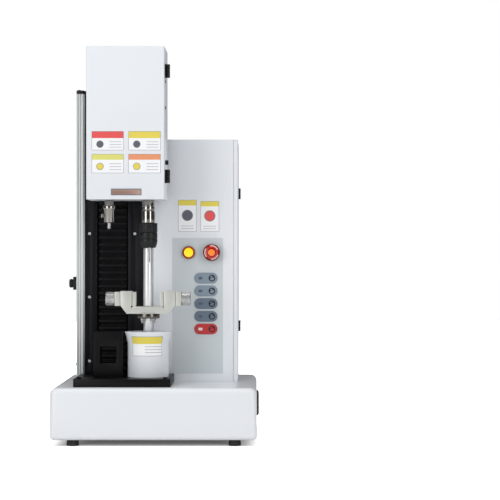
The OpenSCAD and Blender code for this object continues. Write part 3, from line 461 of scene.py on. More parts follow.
LENS_LIT = Finish("amber_lens_lit", "lens_amber", (255, 214, 20), Skin.MOULDED, 700.0, 0.0001,
                  0.2, 0.05, 0.1, coat=0.6, glow=0.45)
STOP_RED = Finish("stop_red_plastic", "stop_red", (126, 10, 16), Skin.MOULDED, 900.0, 0.00001,
                  0.22, 0.05, 0.05, coat=0.5)
# Painted glow: the stop cap is no lamp, yet its lighter ring and orange middle are given emission.
STOP_GLOW_RING = Finish("stop_painted_glow_ring", "stop_red", (204, 40, 20), Skin.MOULDED, 900.0, 0.00001,
                   0.25, 0.05, 0.05, coat=0.3, glow=0.14)
STOP_GLOW_MIDDLE = Finish("stop_painted_glow_middle", "stop_red", (250, 116, 34), Skin.MOULDED, 700.0, 0.00003,
                  0.25, 0.05, 0.1, coat=0.5, glow=0.55)
BOARD = Finish("board_laminate", "board_green", (28, 92, 56), Skin.MOULDED, 900.0, 0.00003,
               0.45, 0.1, 0.2)
COPPER = Finish("copper_name_plate", "plate_alloy", (178, 146, 132), Skin.BRUSHED, 2600.0,
                0.00002, 0.4, 0.12, 0.08, metallic=0.6)
MARK_DARK = Finish("mark_dark_print", "black_plastic", (26, 30, 38), Skin.MOULDED, 2400.0,
                   0.00001, 0.5, 0.05, 0.05)
MARK_SOFT = Finish("mark_soft_print", "black_plastic", (84, 94, 108), Skin.MOULDED, 2400.0,
                   0.00001, 0.5, 0.05, 0.05)
MARK_PALE = Finish("mark_pale_print", "white_paint", (226, 222, 216), Skin.MOULDED, 2400.0,
                   0.00001, 0.45, 0.05, 0.03)


def printed(name: str, slot: str, colour: Rgb, roughness: float = 0.42,
            tone: float = 0.02) -> Finish:
    """Gives the finish of a thin printed film."""
    return Finish(name, slot, colour, Skin.PAINT, 2600.0, 0.00001, roughness, 0.05, tone)


LABEL_GREY = printed("label_grey_film", "white_paint", (200, 207, 211), 0.4)
PRINT_WHITE = printed("print_white_film", "white_paint", (240, 241, 243))
PRINT_EDGE = printed("print_edge_line", "white_paint", (120, 124, 138), 0.45, 0.03)
PRINT_RULE = printed("print_grey_rule", "white_paint", (150, 154, 170), 0.45, 0.03)
PRINT_DARK = printed("print_dark_disc", "black_plastic", (92, 96, 104), 0.45, 0.03)
PRINT_RED = printed("print_red_film", "stop_red", (228, 84, 84))
PRINT_YELLOW = printed("print_yellow_film", "lens_amber", (226, 208, 84))
PRINT_LIME = printed("print_lime_film", "lens_amber", (218, 216, 116))
PRINT_ORANGE = printed("print_orange_film", "lens_amber", (230, 150, 106))


def node_bodies() -> dict[str, str]:
    """Gives the body that each CAD node rides on."""
    bodies = frame["record"]["behaviour"]["bodies"]
    return {node: body for body, nodes in bodies.items() for node in nodes}


class Workshop:
    """The modelling steps that the sub-assemblies share."""

    def __init__(self) -> None:
        """Keeps the skins and the table of bodies."""
        self.groups = SkinGroups()
        self.bodies = node_bodies()

    @staticmethod
    def take(piece: bpy.types.Object) -> None:
        """Selects one piece alone and makes it active.

        Args:
            piece: the piece.
        """
        bpy.ops.object.select_all(action="DESELECT")
        piece.select_set(True)
        bpy.context.view_layer.objects.active = piece

    @staticmethod
    def settle(piece: bpy.types.Object, name: str) -> bpy.types.Object:
        """Names the selected piece and puts its place, turn and scale into its mesh.

        Args:
            piece: the piece.
            name: its name.

        Returns:
            The same piece, at the origin.
        """
        piece.name = name
        piece.data.name = name
        bpy.ops.object.transform_apply(location=True, rotation=True, scale=True)
        return piece

    def block(self, name: str, low: Point, high: Point) -> bpy.types.Object:
        """Adds a box to be shaped further.

        Args:
            name: name of the piece.
            low: lowest corner.
            high: highest corner.

        Returns:
            The box, at the origin with its place in its mesh.
        """
        bpy.ops.object.select_all(action="DESELECT")
        centre = [(a + b) / 2 for a, b in zip(low, high)]
        bpy.ops.mesh.primitive_cube_add(size=1, location=centre)
        piece = bpy.context.object
        piece.scale = [b - a for a, b in zip(low, high)]
        return self.settle(piece, name)

    def disc(self, name: str, centre: Point, radius: float, height: float, turn: Turn,
             sides: int = 48) -> bpy.types.Object:
        """Adds a round blank to be shaped further.

        Args:
            name: name of the piece.
            centre: middle of the blank.
            radius: its radius.
            height: its length along its axis.
            turn: which way its axis points.
            sides: number of its side faces.

        Returns:
            The blank, at the origin with its place in its mesh.
        """
        bpy.ops.object.select_all(action="DESELECT")
        bpy.ops.mesh.primitive_cylinder_add(vertices=sides, radius=radius, depth=height,
                                            location=centre, rotation=turn.value)
        return self.settle(bpy.context.object, name)

    def pick_faces(self, piece: bpy.types.Object, test: FaceTest) -> None:
        """Opens the piece in edit mode with some faces selected.

        Args:
            piece: the piece.
            test: tells whether a face is wanted.
        """
        self.take(piece)
        mesh = piece.data
        mesh.vertices.foreach_set("select", [False] * len(mesh.vertices))
        mesh.edges.foreach_set("select", [False] * len(mesh.edges))
        for face in mesh.polygons:
            face.select = test(face)
        bpy.ops.object.mode_set(mode="EDIT")
        bpy.ops.mesh.select_mode(type="FACE")

    def pick_edges(self, piece: bpy.types.Object,
                   test: Callable[[Vector, Vector], bool]) -> None:
        """Opens the piece in edit mode with some edges selected.

        Args:
            piece: the piece.
            test: tells from an edge's two ends whether it is wanted.
        """
        self.take(piece)
        mesh = piece.data
        bpy.ops.object.mode_set(mode="EDIT")
        bpy.ops.mesh.select_mode(type="EDGE")
        bpy.ops.mesh.select_all(action="DESELECT")
        bpy.ops.object.mode_set(mode="OBJECT")
        for edge in mesh.edges:
            first, second = (mesh.vertices[i].co for i in edge.vertices)
            edge.select = test(first, second)
        bpy.ops.object.mode_set(mode="EDIT")

    @staticmethod
    def close_edit() -> None:
        """Goes back to object mode."""
        bpy.ops.object.mode_set(mode="OBJECT")

    def apply(self, piece: bpy.types.Object, kind: str, **values: object) -> None:
        """Adds a modifier and applies it.

        Args:
            piece: the piece.
            kind: the kind of modifier.
            values: the modifier's settings.
        """
        self.take(piece)
        modifier = piece.modifiers.new(kind.lower(), kind)
        for key, value in values.items():
            setattr(modifier, key, value)
        bpy.ops.object.modifier_apply(modifier=modifier.name)

    def cut(self, piece: bpy.types.Object, cutter: bpy.types.Object,
            operation: str = "DIFFERENCE") -> None:
        """Cuts the cutter's form out of the piece, or joins it on, and clears the cutter away."""
        self.apply(piece, "BOOLEAN", object=cutter, operation=operation, solver="EXACT")
        bpy.data.objects.remove(cutter)

    @staticmethod
    def slice_open(planes: Iterable[tuple[Point, Point]]) -> None:
        """Cuts the faces of the mesh that is open in edit mode along planes.

        Args:
            planes: a point and the normal of each plane.
        """
        for point, normal in planes:
            bpy.ops.mesh.select_all(action="SELECT")
            bpy.ops.mesh.bisect(plane_co=point, plane_no=normal)

    def step(self, piece: bpy.types.Object, way: Vector, border: float, rise: float) -> None:
        """Insets the faces that look one way, and moves them in or out as a step.

        Args:
            piece: the piece.
            way: where the faces look.
            border: width of the border that stays.
            rise: how far the faces inside it move out, or in where it is below 0.
        """
        self.pick_faces(piece, lambda face: face.normal.dot(way) > FACING)
        bpy.ops.mesh.inset(thickness=border)
        bpy.ops.mesh.extrude_region_move(TRANSFORM_OT_translate={"value": way * rise})
        self.close_edit()

    def round_outline(self, piece: bpy.types.Object, radius: float, segments: int = 4) -> None:
        """Rounds the edges of a block that run from front to back.

        Args:
            piece: the block.
            radius: radius of the rounding.
            segments: number of faces across it.
        """
        self.pick_edges(piece, lambda a, b: (a - b).xz.length < WELD_DISTANCE)
        bpy.ops.mesh.bevel(offset=radius, segments=segments)
        self.close_edit()

    def twin(self, piece: bpy.types.Object, name: str, shift: Point) -> bpy.types.Object:
        """Copies a piece that isn't handed over yet, with its own mesh.

        Args:
            piece: the piece.
            name: name of the copy.
            shift: how far the copy stands from it.

        Returns:
            The copy, at the origin with its place in its mesh.
        """
        copy = piece.copy()
        copy.data = piece.data.copy()
        bpy.context.scene.collection.objects.link(copy)
        self.take(copy)
        copy.location = shift
        return self.settle(copy, name)

    def soften(self, piece: bpy.types.Object, width: float, segments: int = 2) -> None:
        """Rounds the sharp edges and shades the piece smooth.

        Args:
            piece: the piece.
            width: width of the rounding, or 0 for none.
            segments: number of faces across the rounding.
        """
        if width > 0:
            self.apply(piece, "BEVEL", width=width, segments=segments, limit_method="ANGLE",
                       angle_limit=SMOOTH_ANGLE, use_clamp_overlap=False, harden_normals=False)
        self.take(piece)
        bpy.ops.object.shade_smooth_by_angle(angle=SMOOTH_ANGLE)

    def node_copy(self, node: str, name: str) -> bpy.types.Object:
        """Copies a CAD node's mesh into a new piece and joins its loose triangles.

        Args:
            node: the CAD node.
            name: name of the new piece.

        Returns:
            The new piece with flat faces joined into one each.
        """
        mesh = frame["nodes"][node].data.copy()
        mesh.materials.clear()
        piece = bpy.data.objects.new(name, mesh)
        mesh.name = name
        bpy.context.scene.collection.objects.link(piece)
        self.take(piece)
        bpy.ops.mesh.customdata_custom_splitnormals_clear()
        bpy.ops.object.mode_set(mode="EDIT")
        bpy.ops.mesh.select_all(action="SELECT")
        bpy.ops.mesh.remove_doubles(threshold=WELD_DISTANCE)
        bpy.ops.mesh.dissolve_limited(angle_limit=FLAT_ANGLE)
        bpy.ops.object.mode_set(mode="OBJECT")
        return piece

    def dress(self, piece: bpy.types.Object, finish: Finish) -> None:
        """Gives the piece one finish all over."""
        piece.data.materials.clear()
        piece.data.materials.append(finish.material(self.groups))

    def dress_where(self, piece: bpy.types.Object, finish: Finish, test: FaceTest) -> None:
        """Gives some faces another finish.

        Args:
            piece: the piece.
            finish: the finish.
            test: tells whether a face gets it.
        """
        piece.data.materials.append(finish.material(self.groups))
        index = len(piece.data.materials) - 1
        for face in piece.data.polygons:
            if test(face):
                face.material_index = index

    def hand_over(self, piece: bpy.types.Object, body: str, slot: str, *nodes: str) -> None:
        """Lets the finished piece ride on its body and stand for its CAD nodes.

        Args:
            piece: the finished piece.
            body: the body that it rides on.
            slot: its material slot; not used.
            nodes: the CAD nodes that it stands for, if any.
        """
        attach(piece, body)
        if nodes:
            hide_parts(*nodes)
        log.info("%s: %d faces on %s", piece.name, len(piece.data.polygons), body)

    def finish_node(self, node: str, finish: Finish, edge: float,
                    segments: int = 2) -> bpy.types.Object:
        """Makes the finished piece of a CAD node: joined, softened, dressed and in place.

        Args:
            node: the CAD node that it stands for.
            finish: its finish.
            edge: width of the rounded edges.
            segments: number of faces across a rounded edge.

        Returns:
            The finished piece.
        """
        piece = self.node_copy(node, f"{node}_finished")
        self.soften(piece, edge, segments)
        self.dress(piece, finish)
        self.hand_over(piece, self.bodies[node], finish.slot, node)
        return piece

    def paint_node(self, node: str, finish: Finish) -> None:
        """Gives a CAD node that stays as it is its finish.

        Args:
            node: the CAD node.
            finish: its finish.
        """
        material = finish.material(self.groups)
        for slot in frame["nodes"][node].material_slots:
            slot.material = material
        log.info("%s: CAD node in %s", node, finish.name)


@dataclass(frozen=True)
class RoundHead:
    """A round head whose middle stands in or out of its rim: a screw, a knob or a lit dome."""

    radius: float
    height: float
    rim: float
    rise: float
    edge: float
    sides: int = 48
    grip: float = 0.0

    def build(self, shop: Workshop, name: str, centre: Point, way: Vector) -> bpy.types.Object:
        """Makes the head.

        Args:
            shop: the modelling steps.
            name: name of the piece.
            centre: its middle.
            way: where its front looks.

        Returns:
            The head, not yet dressed.
        """
        turn = Turn.ALONG_X if way.x else Turn.ALONG_Y
        piece = shop.disc(name, centre, self.radius, self.height, turn, self.sides)
        if self.grip:
            shop.pick_faces(piece, lambda face: abs(face.normal.dot(way)) < ACROSS)
            bpy.ops.mesh.inset(thickness=self.grip)
            shop.close_edit()
        shop.step(piece, way, self.rim, self.rise)
        shop.soften(piece, self.edge)
        return piece


@dataclass(frozen=True)
class Layout:
    """What stands on a plate under its head band, in shares of that field."""

    disc: Span
    radius: float
    rule_x: Span
    rule_z: tuple[float, ...]
    rule_height: float = 1.1 * MM


WIDE = Layout((0.26, 0.5), 8.2 * MM, (0.56, 0.93), (0.68, 0.46, 0.24))
TALL = Layout((0.5, 0.62), 13.0 * MM, (0.16, 0.84), (0.2, 0.1))


@dataclass
class Sticker:
    """A plate of printed film: a head band, a plain disc, rules and a thin edge line."""

    name: str
    x: Span
    z: Span
    head: Finish
    head_height: float
    layout: Layout
    disc: Finish
    film: float = 0.25 * MM
    corner: float = 1.0 * MM
    line: float = 0.7 * MM
    line_share: float = 0.99
    disc_thick: float = 0.2 * MM
    disc_rim: float = 0.14

    def build(self, shop: Workshop, surface: float, body: str) -> None:
        """Makes the plate on a surface that faces the front.

        Args:
            shop: the modelling steps.
            surface: the Y of the surface that it is stuck on.
            body: the body that it rides on.
        """
        piece = shop.block(self.name, (self.x[0], surface - self.film, self.z[0]),
                           (self.x[1], surface + self.film, self.z[1]))
        shop.round_outline(piece, self.corner)
        shop.pick_faces(piece, faces_front)
        bpy.ops.mesh.inset(thickness=self.line)
        split = self.z[1] - self.head_height
        width, height = self.x[1] - self.x[0], split - self.z[0]
        rule_x = [self.x[0] + share * width for share in self.layout.rule_x]
        rules = [(low, low + self.layout.rule_height)
                 for low in (self.z[0] + share * height for share in self.layout.rule_z)]
        shop.slice_open(((x, 0, 0), (1, 0, 0)) for x in rule_x)
        heights = (split, *(z for rule in rules for z in rule))
        shop.slice_open(((0, 0, z), (0, 0, 1)) for z in heights)
        shop.close_edit()
        shop.dress(piece, PRINT_WHITE)
        line = self.line * self.line_share
        low, high = self.z[0] + line, self.z[1] - line
        shop.dress_where(piece, PRINT_EDGE, lambda face: not self._within(face, low, high))
        shop.dress_where(piece, self.head, lambda face: self._within(face, split, high))
        shop.dress_where(piece, PRINT_RULE, lambda face: (
            faces_front(face) and rule_x[0] < face.center.x < rule_x[1]
            and any(bottom < face.center.z < top for bottom, top in rules)))
        shop.hand_over(piece, body, "white_paint")
        self._disc(shop, body, (self.x[0] + self.layout.disc[0] * width, surface - self.film,
                                self.z[0] + self.layout.disc[1] * height))

    def _within(self, face: bpy.types.MeshPolygon, low: float, high: float) -> bool:
        """Tells whether a front face lies inside the edge line and between two heights.

        Args:
            face: the face.
            low: the lower height.
            high: the upper height.

        Returns:
            Whether it does.
        """
        line = self.line * self.line_share
        return (faces_front(face) and self.x[0] + line < face.center.x < self.x[1] - line
                and low < face.center.z < high)

    def _disc(self, shop: Workshop, body: str, centre: Point) -> None:
        """Makes the plain disc: a middle of many corners in a thin rim of the line's colour.

        Args:
            shop: the modelling steps.
            body: the body that it rides on.
            centre: its middle.
        """
        radius = self.layout.radius
        piece = shop.disc(f"{self.name}_disc", centre, radius, self.disc_thick, Turn.ALONG_Y)
        shop.pick_faces(piece, faces_front)
        bpy.ops.mesh.inset(thickness=radius * self.disc_rim)
        shop.close_edit()
        shop.dress(piece, PRINT_EDGE)
        shop.dress_where(piece, self.disc, lambda face: (
            faces_front(face) and len(face.vertices) > 4))
        shop.hand_over(piece, body, self.disc.slot)


@dataclass
class BaseUnit:
    """The base housing with its feet, grips and bed plate."""

    feet_edge: float = 0.5 * MM
    grip_edge: float = 0.4 * MM
    plate_edge: float = 0.6 * MM
    screw_edge: float = 0.2 * MM
    bolt_top: float = 160.0 * MM

    def build(self, shop: Workshop) -> None:
        """Makes and dresses the pieces of the base.

        Args:
            shop: the modelling steps.
        """
        shop.finish_node("base_shell", BASE_WHITE, edge=0)
        shop.paint_node("base_frame", BLACK)
        shop.finish_node("feet", RUBBER, self.feet_edge)
        shop.finish_node("side_grips", RUBBER, self.grip_edge)
        shop.finish_node("bed_plate", BLACK, self.plate_edge)
        screws = shop.finish_node("cap_screws", SATIN, self.screw_edge)
        shop.dress_where(screws, BLACK, lambda face: face.center.z < self.bolt_top)


@dataclass
class Bellows:
    """The pleated sheet in the column's slot."""

    pleats: int = 28
    rows: int = 10
    columns: int = 16
    sheet: float = 1.2 * MM
    tuck: float = 0.45
    tuck_power: int = 8
    straight: float = 0.45

    def wave(self, share: float) -> float:
        """Gives how far forward the sheet is, from 0 in a fold to 1 on a crest.

        Args:
            share: place within the pleat, from 0 to 1.

        Returns:
            The share of the pleat's depth.
        """
        ramp = 1 - abs(2 * share - 1)
        soft = (1 - math.cos(2 * math.pi * share)) / 2
        return self.straight * ramp + (1 - self.straight) * soft

    def build(self, shop: Workshop) -> None:
        """Folds a grid into pleats with tucked side ends and hangs it between bed and head.

        Args:
            shop: the modelling steps.
        """
        low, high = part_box("bellows")
        centre = (low + high) / 2
        bpy.ops.object.select_all(action="DESELECT")
        bpy.ops.mesh.primitive_grid_add(x_subdivisions=self.columns,
                                        y_subdivisions=self.pleats * self.rows, size=1,
                                        location=centre, rotation=Turn.ALONG_Y.value)
        piece = bpy.context.object
        piece.scale = (high.x - low.x, high.z - low.z, 1)
        shop.settle(piece, "bellows_sheet")
        back = high.y - self.sheet
        reach = back - low.y - self.sheet
        pitch = (high.z - low.z) / self.pleats
        half = (high.x - low.x) / 2
        for vertex in piece.data.vertices:
            share = ((vertex.co.z - low.z) / pitch) % 1.0
            side = abs(vertex.co.x - centre.x) / half
            held = 1 - self.tuck * side ** self.tuck_power
            vertex.co.y = back - reach * self.wave(share) * held
        shop.apply(piece, "SOLIDIFY", thickness=self.sheet, offset=0)
        shop.take(piece)
        bpy.ops.object.shade_smooth()
        shop.dress(piece, SHEET)
        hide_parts("bellows")
        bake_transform(piece)
        log.info("%s: %d faces from root to head", piece.name, len(piece.data.polygons))


@dataclass
class Column:
    """The column with its face plates, bellows and the limit rail at its left."""

    steel_edge: float = 0.5 * MM
    plastic_edge: float = 0.8 * MM
    rail_edge: float = 0.3 * MM
    rail_screw: RoundHead = RoundHead(radius=2.6 * MM, height=2.8 * MM, rim=1.0 * MM,
                                      rise=-1.2 * MM, edge=0.2 * MM, sides=32)
    rail_screw_out: float = 1.2 * MM
    rail_screw_z: float = 168.6 * MM
    knob_thick: float = 9.0 * MM
    knob_rim: float = 2.6 * MM
    knob_flutes: int = 8
    flute: float = 1.5 * MM
    screw: float = 2.45 * MM
    bellows: Bellows = field(default_factory=Bellows)

    def build(self, shop: Workshop) -> None:
        """Makes and dresses the pieces of the column.

        Args:
            shop: the modelling steps.
        """
        shop.finish_node("column_channel", BLACK, self.steel_edge)
        shop.finish_node("column_face_plates", BLACK_FACE, self.steel_edge)
        shop.finish_node("end_caps", PLASTIC, self.plastic_edge)
        for node in ("guide_rails", "bearings", "lead_screw"):
            shop.paint_node(node, SATIN)
        shop.paint_node("lift_motor", BLACK)
        self.bellows.build(shop)
        shop.finish_node("limit_rail", RAIL, self.rail_edge)
        shop.finish_node("limit_stop", PLASTIC, self.plastic_edge)
        self._limit_knob(shop)
        self._rail_screw(shop)

    def _limit_knob(self, shop: Workshop) -> None:
        """Makes the round knob of the limit stop: a soft rim with flutes, and its screw.

        Args:
            shop: the modelling steps.
        """
        low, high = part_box("limit_knob")
        y, z = (low.y + high.y) / 2, (low.z + high.z) / 2
        radius = (high.y - low.y) / 2
        middle, inner = low.x + self.knob_thick / 2, low.x + self.knob_thick - SPARE
        knob = shop.disc("limit_thumb_knob", (middle, y, z), radius, self.knob_thick,
                         Turn.ALONG_X, sides=64)
        shop.soften(knob, self.knob_rim, segments=5)
        for step in range(self.knob_flutes):
            turn = 2 * math.pi * (step + 0.5) / self.knob_flutes
            place = (middle, y + radius * math.cos(turn), z + radius * math.sin(turn))
            shop.cut(knob, shop.disc("cutter", place, self.flute, 2 * self.knob_thick,
                                     Turn.ALONG_X, sides=24))
        screw = shop.disc("screw", ((inner + high.x) / 2, y, z), self.screw, high.x - inner,
                          Turn.ALONG_X, sides=32)
        shop.cut(knob, screw, "UNION")
        shop.soften(knob, 0)
        shop.dress(knob, PLASTIC)
        shop.hand_over(knob, shop.bodies["limit_knob"], "black_plastic", "limit_knob")

    def _rail_screw(self, shop: Workshop) -> None:
        """Makes the small clamp screw low on the limit rail.

        Args:
            shop: the modelling steps.
        """
        low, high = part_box("limit_rail")
        centre = (low.x - self.rail_screw_out, (low.y + high.y) / 2, self.rail_screw_z)
        piece = self.rail_screw.build(shop, "rail_clamp_screw", centre, TO_LEFT)
        shop.dress(piece, SATIN.about("rail_screw", centre, Turn.ALONG_X))
        shop.hand_over(piece, "root", "satin_steel")


@dataclass
class KeyMarks:
    """The raised marks on a key: a ring at the right end and a short bar at the left end."""

    ring_radius: float = 7.8 * MM
    ring_line: float = 2.6 * MM
    pointer_lines: float = 1.4
    pointers: tuple[Span, ...] = ((30.0, 75.0), (150.0, 195.0))
    from_right: float = 12.5 * MM
    from_left: float = 14.0 * MM
    bar: Span = (9.0 * MM, 6.0 * MM)
    bar_rim: float = 1.1 * MM
    bar_sink: float = 0.16 * MM
    lift: float = 0.2 * MM

    def model(self, shop: Workshop) -> dict[str, bpy.types.Object]:
        """Models the ring and the bar once, at the origin.

        Args:
            shop: the modelling steps.

        Returns:
            The two models, to be copied onto the keys.
        """
        w, h = self.bar
        bar = shop.block("bar", (-w / 2, -self.lift, -h / 2), (w / 2, self.lift, h / 2))
        shop.step(bar, TO_FRONT, self.bar_rim, -self.bar_sink)
        return {"ring": self._ring(shop), "bar": bar}

    def place(self, shop: Workshop, models: dict[str, bpy.types.Object], node: str,
              bar: Finish) -> None:
        """Copies the marks onto one key.

        Args:
            shop: the modelling steps.
            models: the models of the marks.
            node: the key's CAD node.
            bar: finish of the short bar.
        """
        low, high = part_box(node)
        z = (low.z + high.z) / 2
        right = high.x - KEY_FLANGE[0] - self.from_right
        left = low.x + KEY_FLANGE[0] + self.from_left
        for name, x, finish in (("ring", right, MARK_DARK), ("bar", left, bar)):
            mark = shop.twin(models[name], f"{node}_{name}", (x, low.y, z))
            shop.dress(mark, finish)
            shop.hand_over(mark, shop.bodies[node], "black_plastic")

    def _ring(self, shop: Workshop) -> bpy.types.Object:
        """Models the ring with its two small pointers.

        Args:
            shop: the modelling steps.

        Returns:
            The ring, at the origin.
        """
        bpy.ops.object.select_all(action="DESELECT")
        bpy.ops.mesh.primitive_circle_add(vertices=48, radius=self.ring_radius, fill_type="NGON",
                                          location=(0, 0, 0), rotation=Turn.ALONG_Y.value)
        ring = shop.settle(bpy.context.object, "ring")
        shop.pick_faces(ring, lambda face: True)
        bpy.ops.mesh.inset(thickness=self.ring_line)
        bpy.ops.mesh.inset(thickness=self.ring_line * self.pointer_lines)
        bpy.ops.mesh.delete(type="FACE")
        shop.close_edit()
        shop.pick_faces(ring, self._between_pointers)
        bpy.ops.mesh.delete(type="FACE")
        shop.close_edit()
        shop.apply(ring, "SOLIDIFY", thickness=2 * self.lift, offset=0)
        return ring

    def _between_pointers(self, face: bpy.types.MeshPolygon) -> bool:
        """Tells whether a face of the inner band lies outside the pointers.

        Args:
            face: a face of the ring, at the origin.

        Returns:
            Whether it does.
        """
        if math.hypot(face.center.x, face.center.z) > self.ring_radius - self.ring_line:
            return False
        angle = math.degrees(math.atan2(face.center.z, face.center.x)) % 360
        return not any(low < angle < high for low, high in self.pointers)


@dataclass
class Controls:
    """The control label, the keys, the lit power button and the stop button."""

    keys: tuple[tuple[str, Finish, Finish], ...] = (
        ("key_1", KEY_BLUE, MARK_SOFT), ("key_2", KEY_BLUE, MARK_SOFT),
        ("key_3", KEY_DARK, MARK_SOFT), ("key_4", KEY_DARK, MARK_SOFT),
        ("key_5", KEY_RED, MARK_PALE))
    label_x: Span = (32.4 * MM, 149.9 * MM)
    label_z: Span = (147.0 * MM, 461.5 * MM)
    label_corner: float = 1.5 * MM
    film: float = 0.3 * MM
    clear: float = 0.35 * MM
    cut_ahead: float = 5.0 * MM
    round_end: float = 0.01 * MM
    button_hole: float = 14.0 * MM
    button_cut: float = 20.0 * MM
    key_edge: float = 0.6 * MM
    collar_edge: float = 0.5 * MM
    lens_edge: float = 0.4 * MM
    stop_edge: float = 0.8 * MM
    power_dome: Span = (10.4 * MM, 0.0)
    stop_ring: Span = (14.2 * MM, 1.2 * MM)
    stop_dome: Span = (7.6 * MM, 0.2 * MM)
    dome_thick: float = 1.5 * MM
    dome_rim: float = 0.3
    dome_rise: float = 0.3 * MM
    dome_edge: float = 0.25 * MM
    arc_radius: float = 15.4 * MM
    arc_thick: float = 1.15 * MM
    arc_sink: float = 2.6 * MM
    arc_angles: Span = (26.0, 100.0)
    arc_smooth: float = math.radians(50)
    marks: KeyMarks = field(default_factory=KeyMarks)

    def build(self, shop: Workshop) -> None:
        """Makes and dresses the pieces of the control field.

        Args:
            shop: the modelling steps.
        """
        self._label(shop)
        models = self.marks.model(shop)
        for node, cap, bar in self.keys:
            shop.finish_node(node, cap, self.key_edge, segments=3)
            self.marks.place(shop, models, node, bar)
        for model in models.values():
            bpy.data.objects.remove(model)
        collars = shop.finish_node("switch_bodies", PLASTIC, self.collar_edge)
        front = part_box("front_panel")[0].y
        split = (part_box("power_lens")[1].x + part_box("stop_cap")[0].x) / 2
        # The power collar's front gets painted glow, the halo of the lit lens; the stop collar gets
        # its dark red.
        shop.dress_where(collars, COLLAR, lambda face: (
            face.center.y < front and face.center.x < split))
        shop.dress_where(collars, COLLAR_STOP, lambda face: (
            face.center.y < front and face.center.x > split))
        shop.finish_node("power_lens", LENS, self.lens_edge)
        self._dome(shop, "power_lens_glow", "power_lens", self.power_dome, LENS_LIT)
        shop.paint_node("stop_stem", SATIN)
        shop.finish_node("stop_cap", STOP_RED, self.stop_edge, segments=3)
        # The stop cap is no lamp: the ring and the middle dome glow with painted light.
        self._dome(shop, "stop_painted_glow_ring", "stop_cap", self.stop_ring, STOP_GLOW_RING)
        self._dome(shop, "stop_painted_glow_dome", "stop_cap", self.stop_dome, STOP_GLOW_MIDDLE)
        self._stop_arcs(shop)

    def _label(self, shop: Workshop) -> None:
        """Makes the grey film with the openings for the keys and the buttons.

        Args:
            shop: the modelling steps.
        """
        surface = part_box("front_panel")[0].y
        label = shop.block("control_label", (self.label_x[0], surface - self.film, self.label_z[0]),
                           (self.label_x[1], surface, self.label_z[1]))
        shop.round_outline(label, self.label_corner)
        for node, *_ in self.keys:
            self._cut_pill(shop, label, node)
        for node in ("power_lens", "stop_cap"):
            low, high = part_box(node)
            middle = ((low.x + high.x) / 2, surface, (low.z + high.z) / 2)
            shop.cut(label, shop.disc("cutter", middle, self.button_hole, self.button_cut,
                                      Turn.ALONG_Y, sides=64))
        shop.dress(label, LABEL_GREY)
        shop.hand_over(label, "root", "white_paint")

    def _cut_pill(self, shop: Workshop, label: bpy.types.Object, node: str) -> None:
        """Cuts the opening of one key, whose hidden flange is wider than its cap.

        Args:
            shop: the modelling steps.
            label: the film that it is cut in.
            node: the key's CAD node.
        """
        low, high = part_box(node)
        grow_x, grow_z = (flange - self.clear for flange in KEY_FLANGE)
        cutter = shop.block("cutter", (low.x + grow_x, low.y - self.cut_ahead, low.z + grow_z),
                            (high.x - grow_x, high.y, high.z - grow_z))
        shop.round_outline(cutter, (high.z - low.z) / 2 - grow_z - self.round_end,
                           segments=12)
        shop.cut(label, cutter)

    def _dome(self, shop: Workshop, name: str, node: str, size: Span, finish: Finish) -> None:
        """Makes a flat dome on the front of a button.

        Args:
            shop: the modelling steps.
            name: name of the dome.
            node: the button's CAD node.
            size: its radius, and how far its front lies behind the button's front.
            finish: its finish.
        """
        radius, sink = size
        low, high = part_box(node)
        centre = ((low.x + high.x) / 2, low.y + sink + self.dome_thick / 2,
                  (low.z + high.z) / 2)
        head = RoundHead(radius, self.dome_thick, rim=radius * self.dome_rim,
                         rise=self.dome_rise, edge=self.dome_edge)
        dome = head.build(shop, name, centre, TO_FRONT)
        shop.dress(dome, finish)
        shop.hand_over(dome, shop.bodies[node], finish.slot)

    def _stop_arcs(self, shop: Workshop) -> None:
        """Makes the three pale arcs round the front of the stop button.

        Args:
            shop: the modelling steps.
        """
        low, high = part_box("stop_cap")
        centre = ((low.x + high.x) / 2, low.y + self.arc_sink, (low.z + high.z) / 2)
        bpy.ops.object.select_all(action="DESELECT")
        bpy.ops.mesh.primitive_torus_add(
            location=centre, rotation=Turn.ALONG_Y.value, major_segments=72, minor_segments=10,
            major_radius=self.arc_radius, minor_radius=self.arc_thick)
        arcs = shop.settle(bpy.context.object, "stop_turn_arcs")
        shop.pick_faces(arcs, lambda face: not self._on_arc(face, centre))
        bpy.ops.mesh.delete(type="FACE")
        bpy.ops.mesh.select_all(action="SELECT")
        bpy.ops.mesh.fill_holes(sides=0)
        shop.close_edit()
        shop.take(arcs)
        bpy.ops.object.shade_smooth_by_angle(angle=self.arc_smooth)
        shop.dress(arcs, MARK_PALE)
        shop.hand_over(arcs, "stop_button_cap", "stop_red")

    def _on_arc(self, face: bpy.types.MeshPolygon, centre: Point) -> bool:
        """Tells whether a face of the whole ring lies on one of the three arcs."""
        angle = math.degrees(math.atan2(face.center.z - centre[2], face.center.x - centre[0]))
        return self.arc_angles[0] <= angle % 120 < self.arc_angles[1]


